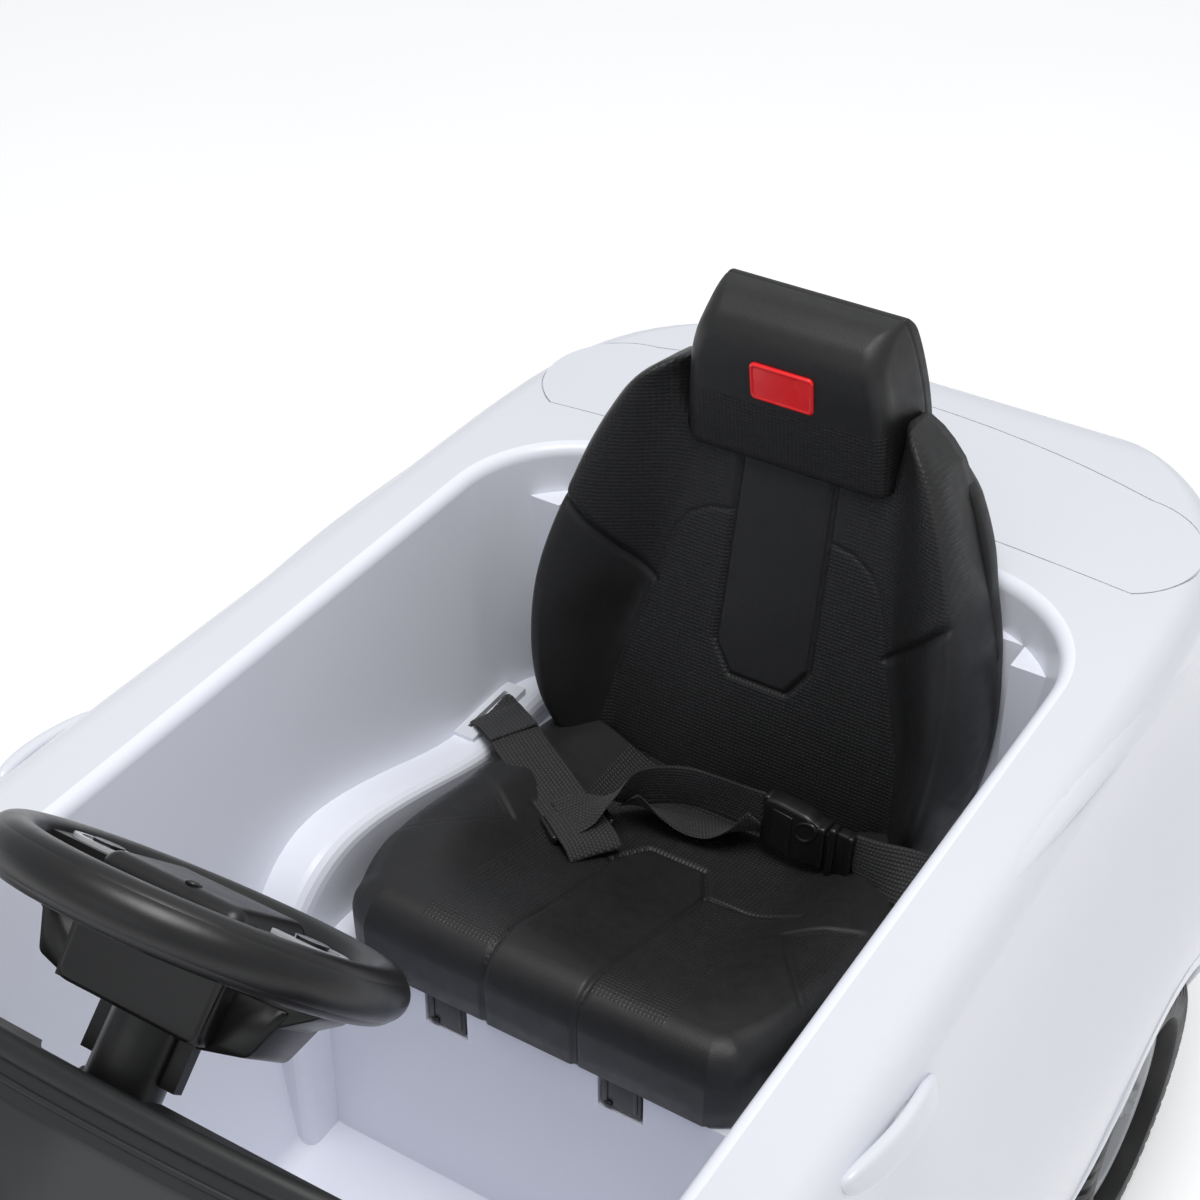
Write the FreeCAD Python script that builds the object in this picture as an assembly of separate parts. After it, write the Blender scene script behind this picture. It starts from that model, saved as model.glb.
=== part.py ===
"""Electric ride-on car for one child, as separate pieces in millimetres.

The front of the car is -Y, the car's left is +X, up is +Z, and the ground is z = 0.
"""
import FreeCAD
import Part
import math
import os

os.makedirs("parts", exist_ok=True)

# Body shell
body_length = 1120.0
body_width = 574.0
rim_height = 415.0
skin = 4.0
shoulder_radius = 22.0
inner_overrun = 30.0
sill_lean_share = 0.35

# One row per cross-section from nose to tail: station, half widths at the top, the waist and the sill,
# heights of the top, the waist and the sill, and the shoulder radius.
body_section_shares = (
    (-1.000, 0.523, 0.655, 0.610, 0.639, 0.470, 0.215, 1.05),
    (-0.966, 0.655, 0.808, 0.738, 0.735, 0.490, 0.180, 1.25),
    (-0.902, 0.746, 0.914, 0.836, 0.818, 0.511, 0.164, 1.35),
    (-0.800, 0.805, 0.972, 0.879, 0.900, 0.530, 0.158, 1.25),
    (-0.715, 0.825, 0.983, 0.887, 0.953, 0.541, 0.157, 1.15),
    (-0.670, 0.831, 0.986, 0.889, 0.982, 0.547, 0.157, 1.10),
    (-0.620, 0.836, 0.985, 0.889, 1.000, 0.551, 0.157, 1.05),
    (-0.530, 0.842, 0.979, 0.889, 1.000, 0.554, 0.157, 1.00),
    (-0.430, 0.847, 0.969, 0.889, 1.000, 0.554, 0.157, 0.97),
    (-0.300, 0.851, 0.957, 0.889, 1.000, 0.554, 0.157, 0.95),
    (-0.116, 0.854, 0.944, 0.889, 1.000, 0.554, 0.157, 0.95),
    (0.107, 0.847, 0.948, 0.889, 1.000, 0.554, 0.157, 0.95),
    (0.321, 0.840, 0.972, 0.889, 1.000, 0.554, 0.157, 0.95),
    (0.527, 0.836, 0.986, 0.889, 1.000, 0.559, 0.157, 0.95),
    (0.688, 0.826, 0.984, 0.882, 1.000, 0.559, 0.157, 0.95),
    (0.795, 0.794, 0.962, 0.863, 1.000, 0.559, 0.158, 0.95),
    (0.875, 0.725, 0.902, 0.818, 1.000, 0.557, 0.162, 0.95),
    (0.921, 0.641, 0.843, 0.771, 1.000, 0.554, 0.170, 0.95),
    (0.957, 0.540, 0.780, 0.716, 0.990, 0.550, 0.182, 1.00),
    (0.984, 0.420, 0.711, 0.660, 0.945, 0.546, 0.200, 1.05),
    (1.000, 0.330, 0.610, 0.585, 0.843, 0.540, 0.225, 1.05),
)

# Cockpit opening and tub
cockpit_half_width = 190.0
cockpit_front = -320.0
cockpit_rear = 352.0
cockpit_front_radius = 46.0
cockpit_rear_radius = 78.0
lip_radius = 8.0
flange_width = 12.0
flange_gap = 0.4
tub_wall = 4.0
tub_draft = 36.0
tub_floor_height = 75.0
tub_floor_fillet = 14.0
platform_height = 233.0
pedestal_front = 51.0
shelf_height = 384.0
shelf_front = 318.0

# Armrest ledges beside the seat
armrest_inner = 147.0
armrest_height = 287.0
armrest_front = 22.0
armrest_rear = 344.0
armrest_fillet = 9.0
armrest_steps = 4
# Each pair is a place along the ledge and a height over the platform.
armrest_top_shares = ((0.0, 0.10), (0.06, 0.72), (0.16, 1.0), (0.29, 0.95), (0.45, 0.68), (0.61, 0.40),
                      (0.80, 0.34), (1.0, 0.34))

# Wheels and axles
wheel_radius = 98.0
tyre_width = 68.0
wheel_centre_x = 245.0
front_axle_y = -362.0
rear_axle_y = 295.0
arch_radius = 108.0
front_arch_radius = 113.0
arch_reach = 320.0
arch_start = 205.0
rim_seat_radius = 66.0
tread_chamfer = 8.0
web_radius = 60.0
web_inboard = 6.0
web_outboard = 8.0
hub_radius = 14.0
hub_outboard = 15.0
axle_radius = 5.0
running_gap = 0.05
cover_radius = 65.6
cover_thickness = 8.0
cover_window_count = 5
cover_window_inner = 22.0
cover_window_outer = 54.0
cover_window_half_angle = 23.0
nut_radius = 8.5
nut_length = 6.0
nut_gap = 0.3
liner_thickness = 2.5
front_liner_radius = 127.0
rear_liner_radius = 113.0
front_liner_inner = 172.0
rear_liner_inner = 204.0
front_liner_outer = 236.0
rear_liner_outer = 246.0

# Chassis pan
pan_bottom = 46.0
pan_top = 52.0
pan_beam_half_width = 150.0
pan_half_length = 500.0
pan_bar_half_width = 228.0
pan_end_gap = 2.0
rail_width = 8.0
post_radius = 11.0
post_x = 105.0
post_front_y = -225.0
post_rear_y = -20.0
axle_post_x = 128.0
axle_post_thickness = 8.0
axle_post_half_length = 22.0
axle_post_rise = 18.0

# Kingpins, knuckles and tie rod
kingpin_x = 196.0
kingpin_radius = 4.0
knuckle_radius = 11.0
knuckle_half_height = 23.0
knuckle_gap = 0.4
bracket_arm = 8.0
bracket_half_width = 9.0
bracket_plate = 8.0
bracket_half_length = 24.0
kingpin_head_radius = 7.0
kingpin_head = 3.0
steer_arm_length = 48.0
steer_arm_half_width = 8.0
steer_arm_thickness = 6.0
steer_arm_bottom = 108.0
tie_rod_half_width = 5.0
tie_rod_thickness = 8.0
tie_rod_gap = 0.4
tie_pin_radius = 4.0
tie_eye_radius = 9.0
stub_collar_radius = 9.0

# Steering wheel, column and crank
wheel_centre_y = -182.0
wheel_centre_z = 526.0
column_lean = 47.5
steering_radius = 82.0
steering_tube = 10.0
spoke_half_width = 17.0
spoke_depth = 8.0
lower_web_depth = 5.0
hub_pad_half_width = 36.0
hub_pad_half_height = 29.0
hub_pad_rise = 13.0
hub_pad_fillet = 7.0
hub_box_half_width = 38.0
hub_box_half_height = 25.0
hub_box_foot_half_width = 36.0
hub_box_foot_half_height = 23.0
hub_box_depth = 42.0
socket_radius = 17.0
socket_end = 92.0
socket_fin = 7.5
socket_fin_thickness = 6.0
socket_fin_end = 66.0
column_radius = 6.0
column_top = 6.0
bolt_place = 78.0
bolt_radius = 3.0
bolt_head_radius = 5.5
bolt_head = 3.0
crank_place = 296.0
crank_radius = 30.0
crank_thickness = 8.0
crank_half_width = 9.0
crank_pin_radius = 4.0
crank_pin_length = 24.0
fork_place = 311.5
fork_thickness = 5.0
fork_half_width = 15.0
fork_up = 62.0
fork_down = 14.0
fork_slot_up = 8.5
fork_slot_down = 6.0
fork_slot_gap = 0.8
fork_post_half_width = 9.0
fork_post_front = -413.0
fork_post_rear = -395.0
fork_post_top = 314.0
bush_place = 178.0
bush_length = 40.0
bush_radius = 9.0
bush_collar_radius = 13.0
bush_collar = 3.0
boss_radius = 18.0
horn_button_x = 53.0
horn_button_radius = 7.0
horn_button_height = 7.0
horn_button_proud = 3.0
horn_pocket_gap = 0.4
horn_travel = 1.5

# Windscreen and dashboard
screen_base_y = -372.0
screen_base_z = 402.0
screen_top_y = -257.0
screen_top_z = 505.0
screen_half_width = 198.0
screen_bow = 16.0
screen_fall = 10.0
screen_thickness = 6.0
screen_stations = 4
pane_half_width = 166.0
pane_low_share = 0.26
pane_high_share = 0.86
pane_thickness = 2.4
pane_corner = 14.0
dash_inset = 6.0
dash_gap = 1.4
dash_lower_half_width = 162.0
dash_lower_front = -302.0
dash_rear = -236.0
dash_lower_bottom = 316.0
dash_brow_share = 0.55
dash_column_gap = 12.0
dash_face = 18.0
dash_hollow_share = 0.9

# Controls on the dashboard
power_x = 82.0
power_z = 372.0
power_radius = 9.0
power_height = 10.0
power_proud = 4.0
power_gap = 0.4
power_travel = 2.0
switch_x = -82.0
switch_z = 372.0
switch_half_width = 8.0
switch_half_height = 14.0
switch_proud = 4.0
switch_depth = 8.0
switch_gap = 0.6
switch_pocket_half_height = 18.0
switch_pocket_depth = 15.0
switch_pivot_depth = 5.0
switch_pin_radius = 1.6
switch_pin_length = 2.2
switch_pin_end_gap = 0.4
socket_x = 130.0
socket_z = 350.0
charge_body_radius = 8.0
charge_body_length = 16.0
charge_flange_radius = 11.0
charge_flange = 2.0
charge_bore_radius = 2.8
charge_bore_depth = 10.0

# Pedal
pedal_x = -72.0
pedal_half_width = 27.0
pedal_length = 82.0
pedal_thickness = 6.0
pedal_hinge_y = -196.0
pedal_hinge_rise = 11.0
pedal_angle = 34.0
pedal_barrel_radius = 6.0
pedal_pin_radius = 2.5
pedal_ear = 4.0
pedal_ear_gap = 0.4
pedal_ear_half_length = 8.0
pedal_base_front = -222.0
pedal_base_rear = -178.0
pedal_base_thickness = 3.0

# Seat
seat_front = 48.0
seat_rear = 272.0
seat_half_width = 141.0
seat_rise = 53.0
# Each row is a place along the seat, a half width, the height of the side and the height of the middle.
seat_section_shares = (
    (0.000, 0.79, 0.55, 0.64),
    (0.036, 0.88, 0.91, 0.96),
    (0.120, 0.94, 0.97, 0.95),
    (0.320, 0.99, 0.92, 0.64),
    (0.590, 1.00, 0.68, 0.32),
    (0.810, 0.99, 0.50, 0.12),
    (1.000, 0.96, 0.44, 0.10),
)
seat_edge = 9.0
seat_blend_share = 0.35
seat_bolster_share = 0.72
seat_pan_share = 0.42
tab_inner = 45.0
tab_outer = 71.0
tab_bottom = 211.0
tab_front = 51.5
tab_rear = 57.0
notch_gap = 1.5
notch_rear = 60.0
notch_shelf = 3.0
back_foot_y = 287.0
back_foot_z = 233.0
back_lean = 10.84
back_height = 226.0
back_half_width = 148.0
back_bolster = 46.0
back_thickness = 16.0
back_cover_thickness = 6.0
# Each row is a height, a half width and the depth of the side bolster.
back_section_shares = (
    (0.025, 0.88, 0.30),
    (0.180, 0.965, 0.85),
    (0.440, 1.000, 1.00),
    (0.660, 0.993, 0.86),
    (0.840, 0.966, 0.52),
    (1.000, 0.926, 0.34),
)
back_edge = 9.0
back_bolster_share = 0.74
back_panel_share = 0.52
neck_front = 4.0
wing_top = 289.0
wing_front = 14.0
# Half of the wing outline as shares of the half width and of the wing top.
wing_outline_shares = ((0.926, 0.775), (0.79, 0.975), (0.65, 1.0), (0.49, 0.985), (0.445, 0.775))
neck_top = 240.0
headrest_foot = 237.0
headrest_front = 9.0
headrest_tilt = 20.0
headrest_height = 91.0
headrest_depth = 50.0
headrest_foot_half_width = 62.5
headrest_top_half_width = 55.0
headrest_fillet = 10.0
# The side outline of the headrest as shares of its depth and height.
headrest_profile_shares = ((0.0, 0.0), (0.0, 0.76), (0.06, 0.87), (0.20, 0.955), (0.45, 1.0), (0.80, 0.985),
                           (1.0, 0.93), (1.0, 0.09))
stem_half_width = 30.0
stem_rise = 24.0
badge_half_width = 20.0
badge_low = 40.0
badge_high = 65.0
badge_thickness = 1.5
badge_fillet = 4.0

# Belt
strap_width = 34.0
strap_thickness = 2.0
bezel_x = 168.0
bezel_front = 226.0
bezel_rear = 286.0
bezel_half_width = 9.0
bezel_height = 5.0
bezel_slot_half_width = 1.5
bezel_slot_inset = 9.0
buckle_length = 42.0
buckle_height = 38.0
buckle_thickness = 14.0
tongue_length = 18.0
slider_half_length = 20.0
slider_half_width = 11.0
slider_thickness = 4.5
buckle_fillet = 4.0
buckle_place = (38.0, 251.0, 268.0)
buckle_direction = (1.0, -0.10, -0.05)
slider_place = (-62.0, 196.0, 251.7)
slider_direction = (0.80, -0.55, 0.0)
# Each stop of a strap is a place, the direction of its width and its normal.
right_strap_route = (
    ((-168.0, 256.0, 240.0), (0.0, 1.0, 0.0), (-1.0, 0.0, 0.0)),
    ((-168.0, 256.0, 259.0), (0.0, 1.0, 0.0), (-1.0, 0.0, 0.0)),
    ((-164.5, 255.0, 264.5), (0.0, 1.0, 0.0), (-0.8, 0.0, 0.6)),
    ((-155.0, 250.0, 267.0), (0.1, 1.0, 0.0), (-0.1, 0.0, 1.0)),
    ((-135.0, 237.0, 267.5), (0.3, 0.95, 0.0), (0.1, 0.0, 1.0)),
    ((-110.0, 221.0, 262.5), (0.5, 0.85, 0.0), (0.15, 0.0, 1.0)),
    ((-88.0, 211.0, 257.5), (0.55, 0.8, 0.0), (0.15, 0.0, 1.0)),
    ((-71.8, 202.7, 254.2), (0.55, 0.8, 0.0), (0.05, 0.0, 1.0)),
)
run_strap_route = (
    ((-62.0, 196.0, 257.4), (0.87, -0.48, 0.0), (0.0, 0.0, 1.0)),
    ((-54.0, 211.0, 264.0), (0.78, -0.38, 0.45), (-0.3, 0.5, 0.85)),
    ((-42.0, 229.0, 267.0), (0.25, -0.10, 0.97), (-0.55, 0.8, 0.2)),
    ((-18.0, 246.0, 267.0), (0.0, -0.05, 1.0), (-0.35, 1.0, 0.0)),
    ((10.0, 251.5, 267.5), (0.0, 0.0, 1.0), (-0.05, 1.0, 0.0)),
    ((36.9, 251.2, 267.8), (0.0, 0.0, 1.0), (0.1, 1.0, 0.0)),
)
left_strap_route = (
    ((98.8, 244.9, 266.5), (0.0, 0.0, 1.0), (0.1, 1.0, 0.0)),
    ((120.0, 238.0, 275.0), (0.0, 0.3, 0.95), (0.1, 0.95, -0.3)),
    ((140.0, 239.0, 275.0), (0.0, 0.85, 0.5), (-0.2, 0.5, -0.85)),
    ((155.0, 249.0, 269.5), (0.0, 1.0, 0.1), (-0.1, 0.1, -1.0)),
    ((164.5, 255.0, 265.0), (0.0, 1.0, 0.0), (-0.8, 0.0, -0.6)),
    ((168.0, 256.0, 259.0), (0.0, 1.0, 0.0), (-1.0, 0.0, 0.0)),
    ((168.0, 256.0, 240.0), (0.0, 1.0, 0.0), (-1.0, 0.0, 0.0)),
)

# Rear deck panel
deck_pocket = 2.4
deck_panel_gap = 0.8
deck_front_x = 196.0
deck_end_x = 221.0
deck_rear_x = 172.0
# Places between the cockpit and the tail, for the middle and the ends of the panel's edges.
deck_front_mid_share = 0.1731
deck_front_end_share = 0.1202
deck_end_share = 0.3462
deck_rear_end_share = 0.5817
deck_rear_mid_share = 0.7163

# Lights, grille, handles and mirrors
light_low = 236.0
light_high = 284.0
light_inner = 128.0
light_outer = 262.0
light_length = 82.0
light_slant = 14.0
tail_low = 300.0
tail_high = 344.0
tail_inner = 118.0
tail_outer = 262.0
tail_length = 68.0
grille_half_width = 104.0
grille_low = 142.0
grille_high = 226.0
grille_length = 20.0
grille_corner = 14.0
slat_count = 6
slat_gap = 7.0
slat_depth = 2.4
lens_gap = 0.3
handle_front = -62.0
handle_rear = 24.0
handle_low = 366.0
handle_high = 382.0
handle_rise = 6.0
scoop_radius = 46.0
scoop_depth = 2.4
scoop_y = -18.0
scoop_z = 388.0
mirror_y = -268.0
mirror_x = 236.0
mirror_z = 440.0
mirror_half_width = 34.0
mirror_half_height = 20.0
mirror_depth = 26.0
mirror_stalk_radius = 7.0
mirror_stalk_drop = 60.0
mirror_stalk_set_back = 8.4
mirror_glass_thickness = 1.6
mirror_glass_inset = 3.0
mirror_stalk_share = 0.35

# Drive
gear_module = 1.5
output_teeth = 48
big_teeth = 36
small_teeth = 12
pinion_teeth = 12
idler_angle = 150.0
motor_angle = 180.0
gear_addendum_share = 0.85
gear_dedendum_share = 1.25
tooth_root_share = 0.33
tooth_tip_share = 0.12
output_gear_inner = 166.0
gear_width = 10.0
big_gear_inner = 180.0
big_gear_width = 8.0
gear_hub_radius = 11.0
idler_pin_radius = 3.0
case_inner = 150.0
case_outer = 196.0
case_cover = 4.0
case_wall = 3.0
case_front = 190.0
case_rear = 342.0
case_top = 152.0
motor_radius = 18.0
motor_length = 54.0
motor_shaft_radius = 2.5
motor_shaft_gap = 1.0
dog_radius = 11.0
battery_half_width = 76.0
battery_front = 68.0
battery_rear = 164.0
battery_top = 147.0
control_front = 186.0
control_rear = 256.0
control_x_low = -120.0
control_x_high = -40.0
control_top = 86.0

Vec = FreeCAD.Vector
axis_x = Vec(1, 0, 0)
axis_y = Vec(0, 1, 0)
axis_z = Vec(0, 0, 1)
origin = Vec(0, 0, 0)


def save(name, shape):
    """Write one node as a STEP file."""
    shape.exportStep("parts/" + name + ".step")


def block(x0, x1, y0, y1, z0, z1):
    """A box between two corners."""
    return Part.makeBox(x1 - x0, y1 - y0, z1 - z0, Vec(x0, y0, z0))


def mirrored(shape):
    """The same shape on the other side of the car."""
    return shape.mirror(origin, axis_x)


def pair(shape):
    """A shape and its mirror image, as separate solids of one node."""
    return Part.makeCompound([shape, mirrored(shape)])


def one(shape):
    """The single solid of a boolean result."""
    return shape.removeSplitter().Solids[0] if len(shape.Solids) == 1 else shape.removeSplitter()


def polygon(points):
    """A closed wire through the points."""
    return Part.makePolygon(list(points) + [points[0]])


def prism(points, along):
    """A flat outline pushed along a vector."""
    return Part.Face(polygon(points)).extrude(along)


def body_lines(row, grow):
    """The edges of one cross-section over the top of the body, and its two low points."""
    station, top, waist, sill, height, waist_height, sill_height, radius = row
    y = station * body_length / 2
    top_x = top * body_width / 2 + grow
    waist_x = waist * body_width / 2 + grow
    sill_x = sill * body_width / 2 + grow
    top_z = height * rim_height + grow
    waist_z = waist_height * rim_height
    sill_z = sill_height * rim_height
    r = radius * shoulder_radius
    c = r * math.sqrt(0.5)
    starts = []
    lows = []
    arcs = []
    curves = []
    for side in (1, -1):
        start = Vec(side * (top_x - r), y, top_z)
        middle = Vec(side * (top_x - r + c), y, top_z - r + c)
        turn = Vec(side * top_x, y, top_z - r)
        low = Vec(side * sill_x, y, sill_z)
        curve = Part.BSplineCurve()
        curve.interpolate(Points=[turn, Vec(side * waist_x, y, waist_z), low],
                          InitialTangent=Vec(0, 0, -1), FinalTangent=Vec(-side * sill_lean_share, 0, -1))
        arcs.append(Part.Arc(start, middle, turn).toShape())
        curves.append(curve.toShape())
        starts.append(start)
        lows.append(low)
    edges = [Part.makeLine(starts[1], starts[0]), arcs[0], curves[0], curves[1], arcs[1]]
    return edges, lows


def body_section(row, grow):
    """One closed cross-section of the body at its station."""
    edges, lows = body_lines(row, grow)
    foot = Part.makeLine(lows[0], lows[1])
    return Part.Wire(Part.__sortEdges__(edges + [foot]))


def wall_section(row):
    """The closed section of the body's wall, which is open underneath."""
    outer, outer_lows = body_lines(row, 0)
    inner, inner_lows = body_lines(row, -skin)
    feet = [Part.makeLine(outer_lows[0], inner_lows[0]), Part.makeLine(outer_lows[1], inner_lows[1])]
    return Part.Wire(Part.__sortEdges__(outer + inner + feet))


def body_form(grow):
    """The whole body as one smooth solid, grown by a distance."""
    return Part.makeLoft([body_section(row, grow) for row in body_section_shares], True, False)


def end_plate(row, depth):
    """The wall that closes the nose or the tail."""
    return Part.Face(body_section(row, -skin / 2)).extrude(Vec(0, depth, 0))


def cockpit_wire(grow, z, front_grow=None):
    """The rounded outline of the cockpit, grown outwards, at a height."""
    if front_grow is None:
        front_grow = grow
    x = cockpit_half_width + grow
    y0 = cockpit_front - front_grow
    y1 = cockpit_rear + grow
    rf = cockpit_front_radius + grow
    rr = cockpit_rear_radius + grow
    k = 1 - math.sqrt(0.5)
    p = [Vec(x, y0 + rf, z), Vec(x, y1 - rr, z), Vec(x - rr, y1, z), Vec(-x + rr, y1, z),
         Vec(-x, y1 - rr, z), Vec(-x, y0 + rf, z), Vec(-x + rf, y0, z), Vec(x - rf, y0, z)]
    m = [Vec(x - k * rr, y1 - k * rr, z), Vec(-x + k * rr, y1 - k * rr, z),
         Vec(-x + k * rf, y0 + k * rf, z), Vec(x - k * rf, y0 + k * rf, z)]
    edges = [Part.makeLine(p[0], p[1]), Part.Arc(p[1], m[0], p[2]).toShape(),
             Part.makeLine(p[2], p[3]), Part.Arc(p[3], m[1], p[4]).toShape(),
             Part.makeLine(p[4], p[5]), Part.Arc(p[5], m[2], p[6]).toShape(),
             Part.makeLine(p[6], p[7]), Part.Arc(p[7], m[3], p[0]).toShape()]
    return Part.Wire(edges)


def arch_cut(y, radius, x0, x1):
    """A wheel arch as a prism with a round top, on the left side."""
    z = wheel_radius
    p = [Vec(x0, y - radius, 0), Vec(x0, y - radius, z), Vec(x0, y + radius, z), Vec(x0, y + radius, 0)]
    edges = [Part.makeLine(p[0], p[1]), Part.Arc(p[1], Vec(x0, y, z + radius), p[2]).toShape(),
             Part.makeLine(p[2], p[3]), Part.makeLine(p[3], p[0])]
    return Part.Face(Part.Wire(edges)).extrude(Vec(x1 - x0, 0, 0))


nose = -body_length / 2
tail = body_length / 2


def deck_place(share):
    """A place along the car between the cockpit and the tail."""
    return cockpit_rear + (tail - cockpit_rear) * share


def deck_wire(grow, z):
    """The outline of the rear deck panel, grown outwards."""
    fx = deck_front_x + grow
    rx = deck_rear_x + grow
    ex = deck_end_x + grow
    a = Vec(-fx, deck_place(deck_front_end_share) - grow, z)
    b = Vec(fx, deck_place(deck_front_end_share) - grow, z)
    c = Vec(rx, deck_place(deck_rear_end_share) + grow, z)
    d = Vec(-rx, deck_place(deck_rear_end_share) + grow, z)
    edges = [Part.Arc(a, Vec(0, deck_place(deck_front_mid_share) - grow, z), b).toShape(),
             Part.Arc(b, Vec(ex, deck_place(deck_end_share), z), c).toShape(),
             Part.Arc(c, Vec(0, deck_place(deck_rear_mid_share) + grow, z), d).toShape(),
             Part.Arc(d, Vec(-ex, deck_place(deck_end_share), z), a).toShape()]
    return Part.Wire(edges)


def light_prism(grow):
    """The front-view outline of the left headlight, pushed along the car."""
    start = -body_length
    points = [Vec(light_inner - grow, start, light_low - grow),
              Vec(light_outer + grow, start, light_low + light_slant - grow),
              Vec(light_outer + grow, start, light_high + light_slant + grow),
              Vec(light_inner - grow, start, light_high + grow)]
    return prism(points, Vec(0, body_length + nose + light_length + grow, 0))


def tail_prism(grow):
    """The rear-view outline of the left tail light, pushed along the car."""
    return block(tail_inner - grow, tail_outer + grow, tail - tail_length - grow, body_length,
                 tail_low - grow, tail_high + grow)


def grille_prism(grow):
    """The rounded outline of the grille, pushed back from the nose."""
    x = grille_half_width + grow
    shape = block(-x, x, -body_length, nose + grille_length, grille_low - grow, grille_high + grow)
    corners = [e for e in shape.Edges if abs(e.tangentAt(e.FirstParameter).y) > 0.99]
    return shape.makeFillet(grille_corner + grow, corners)


# Steering axis
wheel_centre = Vec(0, wheel_centre_y, wheel_centre_z)
column_turn = math.radians(column_lean)
column_down = Vec(0, -math.sin(column_turn), -math.cos(column_turn))
column_up = column_down * -1
column_side = Vec(0, math.cos(column_turn), -math.sin(column_turn))


def on_column(along):
    """A point on the steering axis, measured down from the wheel."""
    return wheel_centre + column_down * along


def column_tube(along0, along1, radius):
    """A cylinder around the steering axis."""
    return Part.makeCylinder(radius, along1 - along0, on_column(along0), column_down)


# Body shell with its openings
outer_form = body_form(0)
shell = Part.makeLoft([wall_section(row) for row in body_section_shares], True, False)
shell = shell.fuse(end_plate(body_section_shares[0], skin))
shell = shell.fuse(end_plate(body_section_shares[-1], -skin)).Solids[0]
for axle_y, radius in ((front_axle_y, front_arch_radius), (rear_axle_y, arch_radius)):
    arch = arch_cut(axle_y, radius, arch_start, arch_reach)
    shell = shell.cut(arch).Solids[0]
    shell = shell.cut(mirrored(arch)).Solids[0]
opening_foot = Part.Face(cockpit_wire(lip_radius, rim_height - inner_overrun))
opening = opening_foot.extrude(Vec(0, 0, 2 * inner_overrun))
shell = shell.cut(opening).Solids[0]
shell = shell.cut(column_tube(bush_place - bush_length, bush_place + 2 * bush_length,
                              boss_radius + flange_gap)).Solids[0]
lens_solid = shell.common(light_prism(0)).Solids[0]
tail_solid = shell.common(tail_prism(0)).Solids[0]
grille_solid = shell.common(grille_prism(0)).Solids[0]
deck_foot = Part.Face(deck_wire(deck_panel_gap, rim_height - deck_pocket))
deck_cut = deck_foot.extrude(Vec(0, 0, inner_overrun))
scoop_x = body_section_shares[10][1] * body_width / 2 + scoop_radius - scoop_depth
scoop = Part.makeSphere(scoop_radius, Vec(scoop_x, scoop_y, scoop_z))
for hole in (light_prism(lens_gap), tail_prism(lens_gap), scoop):
    shell = shell.cut(hole).Solids[0]
    shell = shell.cut(mirrored(hole)).Solids[0]
shell = shell.cut(grille_prism(lens_gap)).Solids[0]
shell = shell.cut(deck_cut).Solids[0]
save("body_shell", shell)
save("headlight_lenses", pair(lens_solid))
save("tail_lights", pair(tail_solid))
slat_pitch = (grille_high - grille_low) / (slat_count + 1)
slat_reach = grille_half_width - grille_corner
for index in range(slat_count):
    z = grille_low + slat_pitch * (index + 1)
    grille_solid = grille_solid.cut(block(-slat_reach, slat_reach, nose - slat_depth, nose + slat_depth,
                                          z - slat_gap / 2, z + slat_gap / 2))
save("front_grille", grille_solid.Solids[0])
save("rear_deck_panel", Part.Face(deck_wire(0, rim_height - deck_pocket)).extrude(Vec(0, 0, deck_pocket)))
handle_bar = block(0, arch_reach, handle_front, handle_rear, handle_low, handle_high)
handle = body_form(handle_rise).common(handle_bar).cut(outer_form).Solids[0]
save("door_handles", pair(handle))

# Seat back frame: a leaning plane with its own axes
lean = math.radians(back_lean)
back_up = Vec(0, math.sin(lean), math.cos(lean))
back_out = Vec(0, math.cos(lean), -math.sin(lean))
back_foot = Vec(0, back_foot_y, back_foot_z)


def on_back(x, out, up):
    """A point in the frame of the leaning seat back."""
    return back_foot + axis_x * x + back_out * out + back_up * up


def lean_prism(outline, out0, out1):
    """An outline of (x, up) pairs on the seat back, pushed through its depth."""
    points = [on_back(x, out0, up) for x, up in outline]
    return prism(points, back_out * (out1 - out0))


# Cockpit tub: drafted walls, floor, seat platform, armrests, rear shelf and rolled lip
lip_bottom = rim_height - lip_radius


def tub_form(grow, drop):
    """The drafted cockpit volume, grown outwards and let down below the floor."""
    slope = tub_draft / (lip_bottom - tub_floor_height)
    low_grow = grow - slope * (lip_bottom - tub_floor_height + drop)
    low = cockpit_wire(low_grow, tub_floor_height - drop)
    return Part.makeLoft([low, cockpit_wire(grow, lip_bottom)], True, True)


def armrest_wire(x, drop, inset, bottom):
    """The side outline of an armrest at one place across the car."""
    rise = armrest_height - platform_height
    span = armrest_rear - armrest_front
    points = [Vec(x, armrest_front + inset + drop + span * share_y,
                  platform_height + rise * share_z - inset - drop) for share_y, share_z in armrest_top_shares]
    curve = Part.BSplineCurve()
    curve.interpolate(points)
    low = [Vec(x, points[-1].y, bottom), Vec(x, points[0].y, bottom)]
    return Part.Wire([curve.toShape(), Part.makeLine(points[-1], low[0]), Part.makeLine(low[0], low[1]),
                      Part.makeLine(low[1], points[0])])


def armrest_form(inset, bottom):
    """One armrest ledge on the left with a rounded inner top edge, made smaller by an inset."""
    wires = []
    for step in range(armrest_steps + 1):
        turn = math.pi / 2 * step / armrest_steps
        x = armrest_inner + inset + armrest_fillet * (1 - math.cos(turn))
        wires.append(armrest_wire(x, armrest_fillet * (1 - math.sin(turn)), inset, bottom))
    wires.append(armrest_wire(arch_reach, 0, inset, bottom))
    return Part.makeLoft(wires, True, True)


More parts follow.
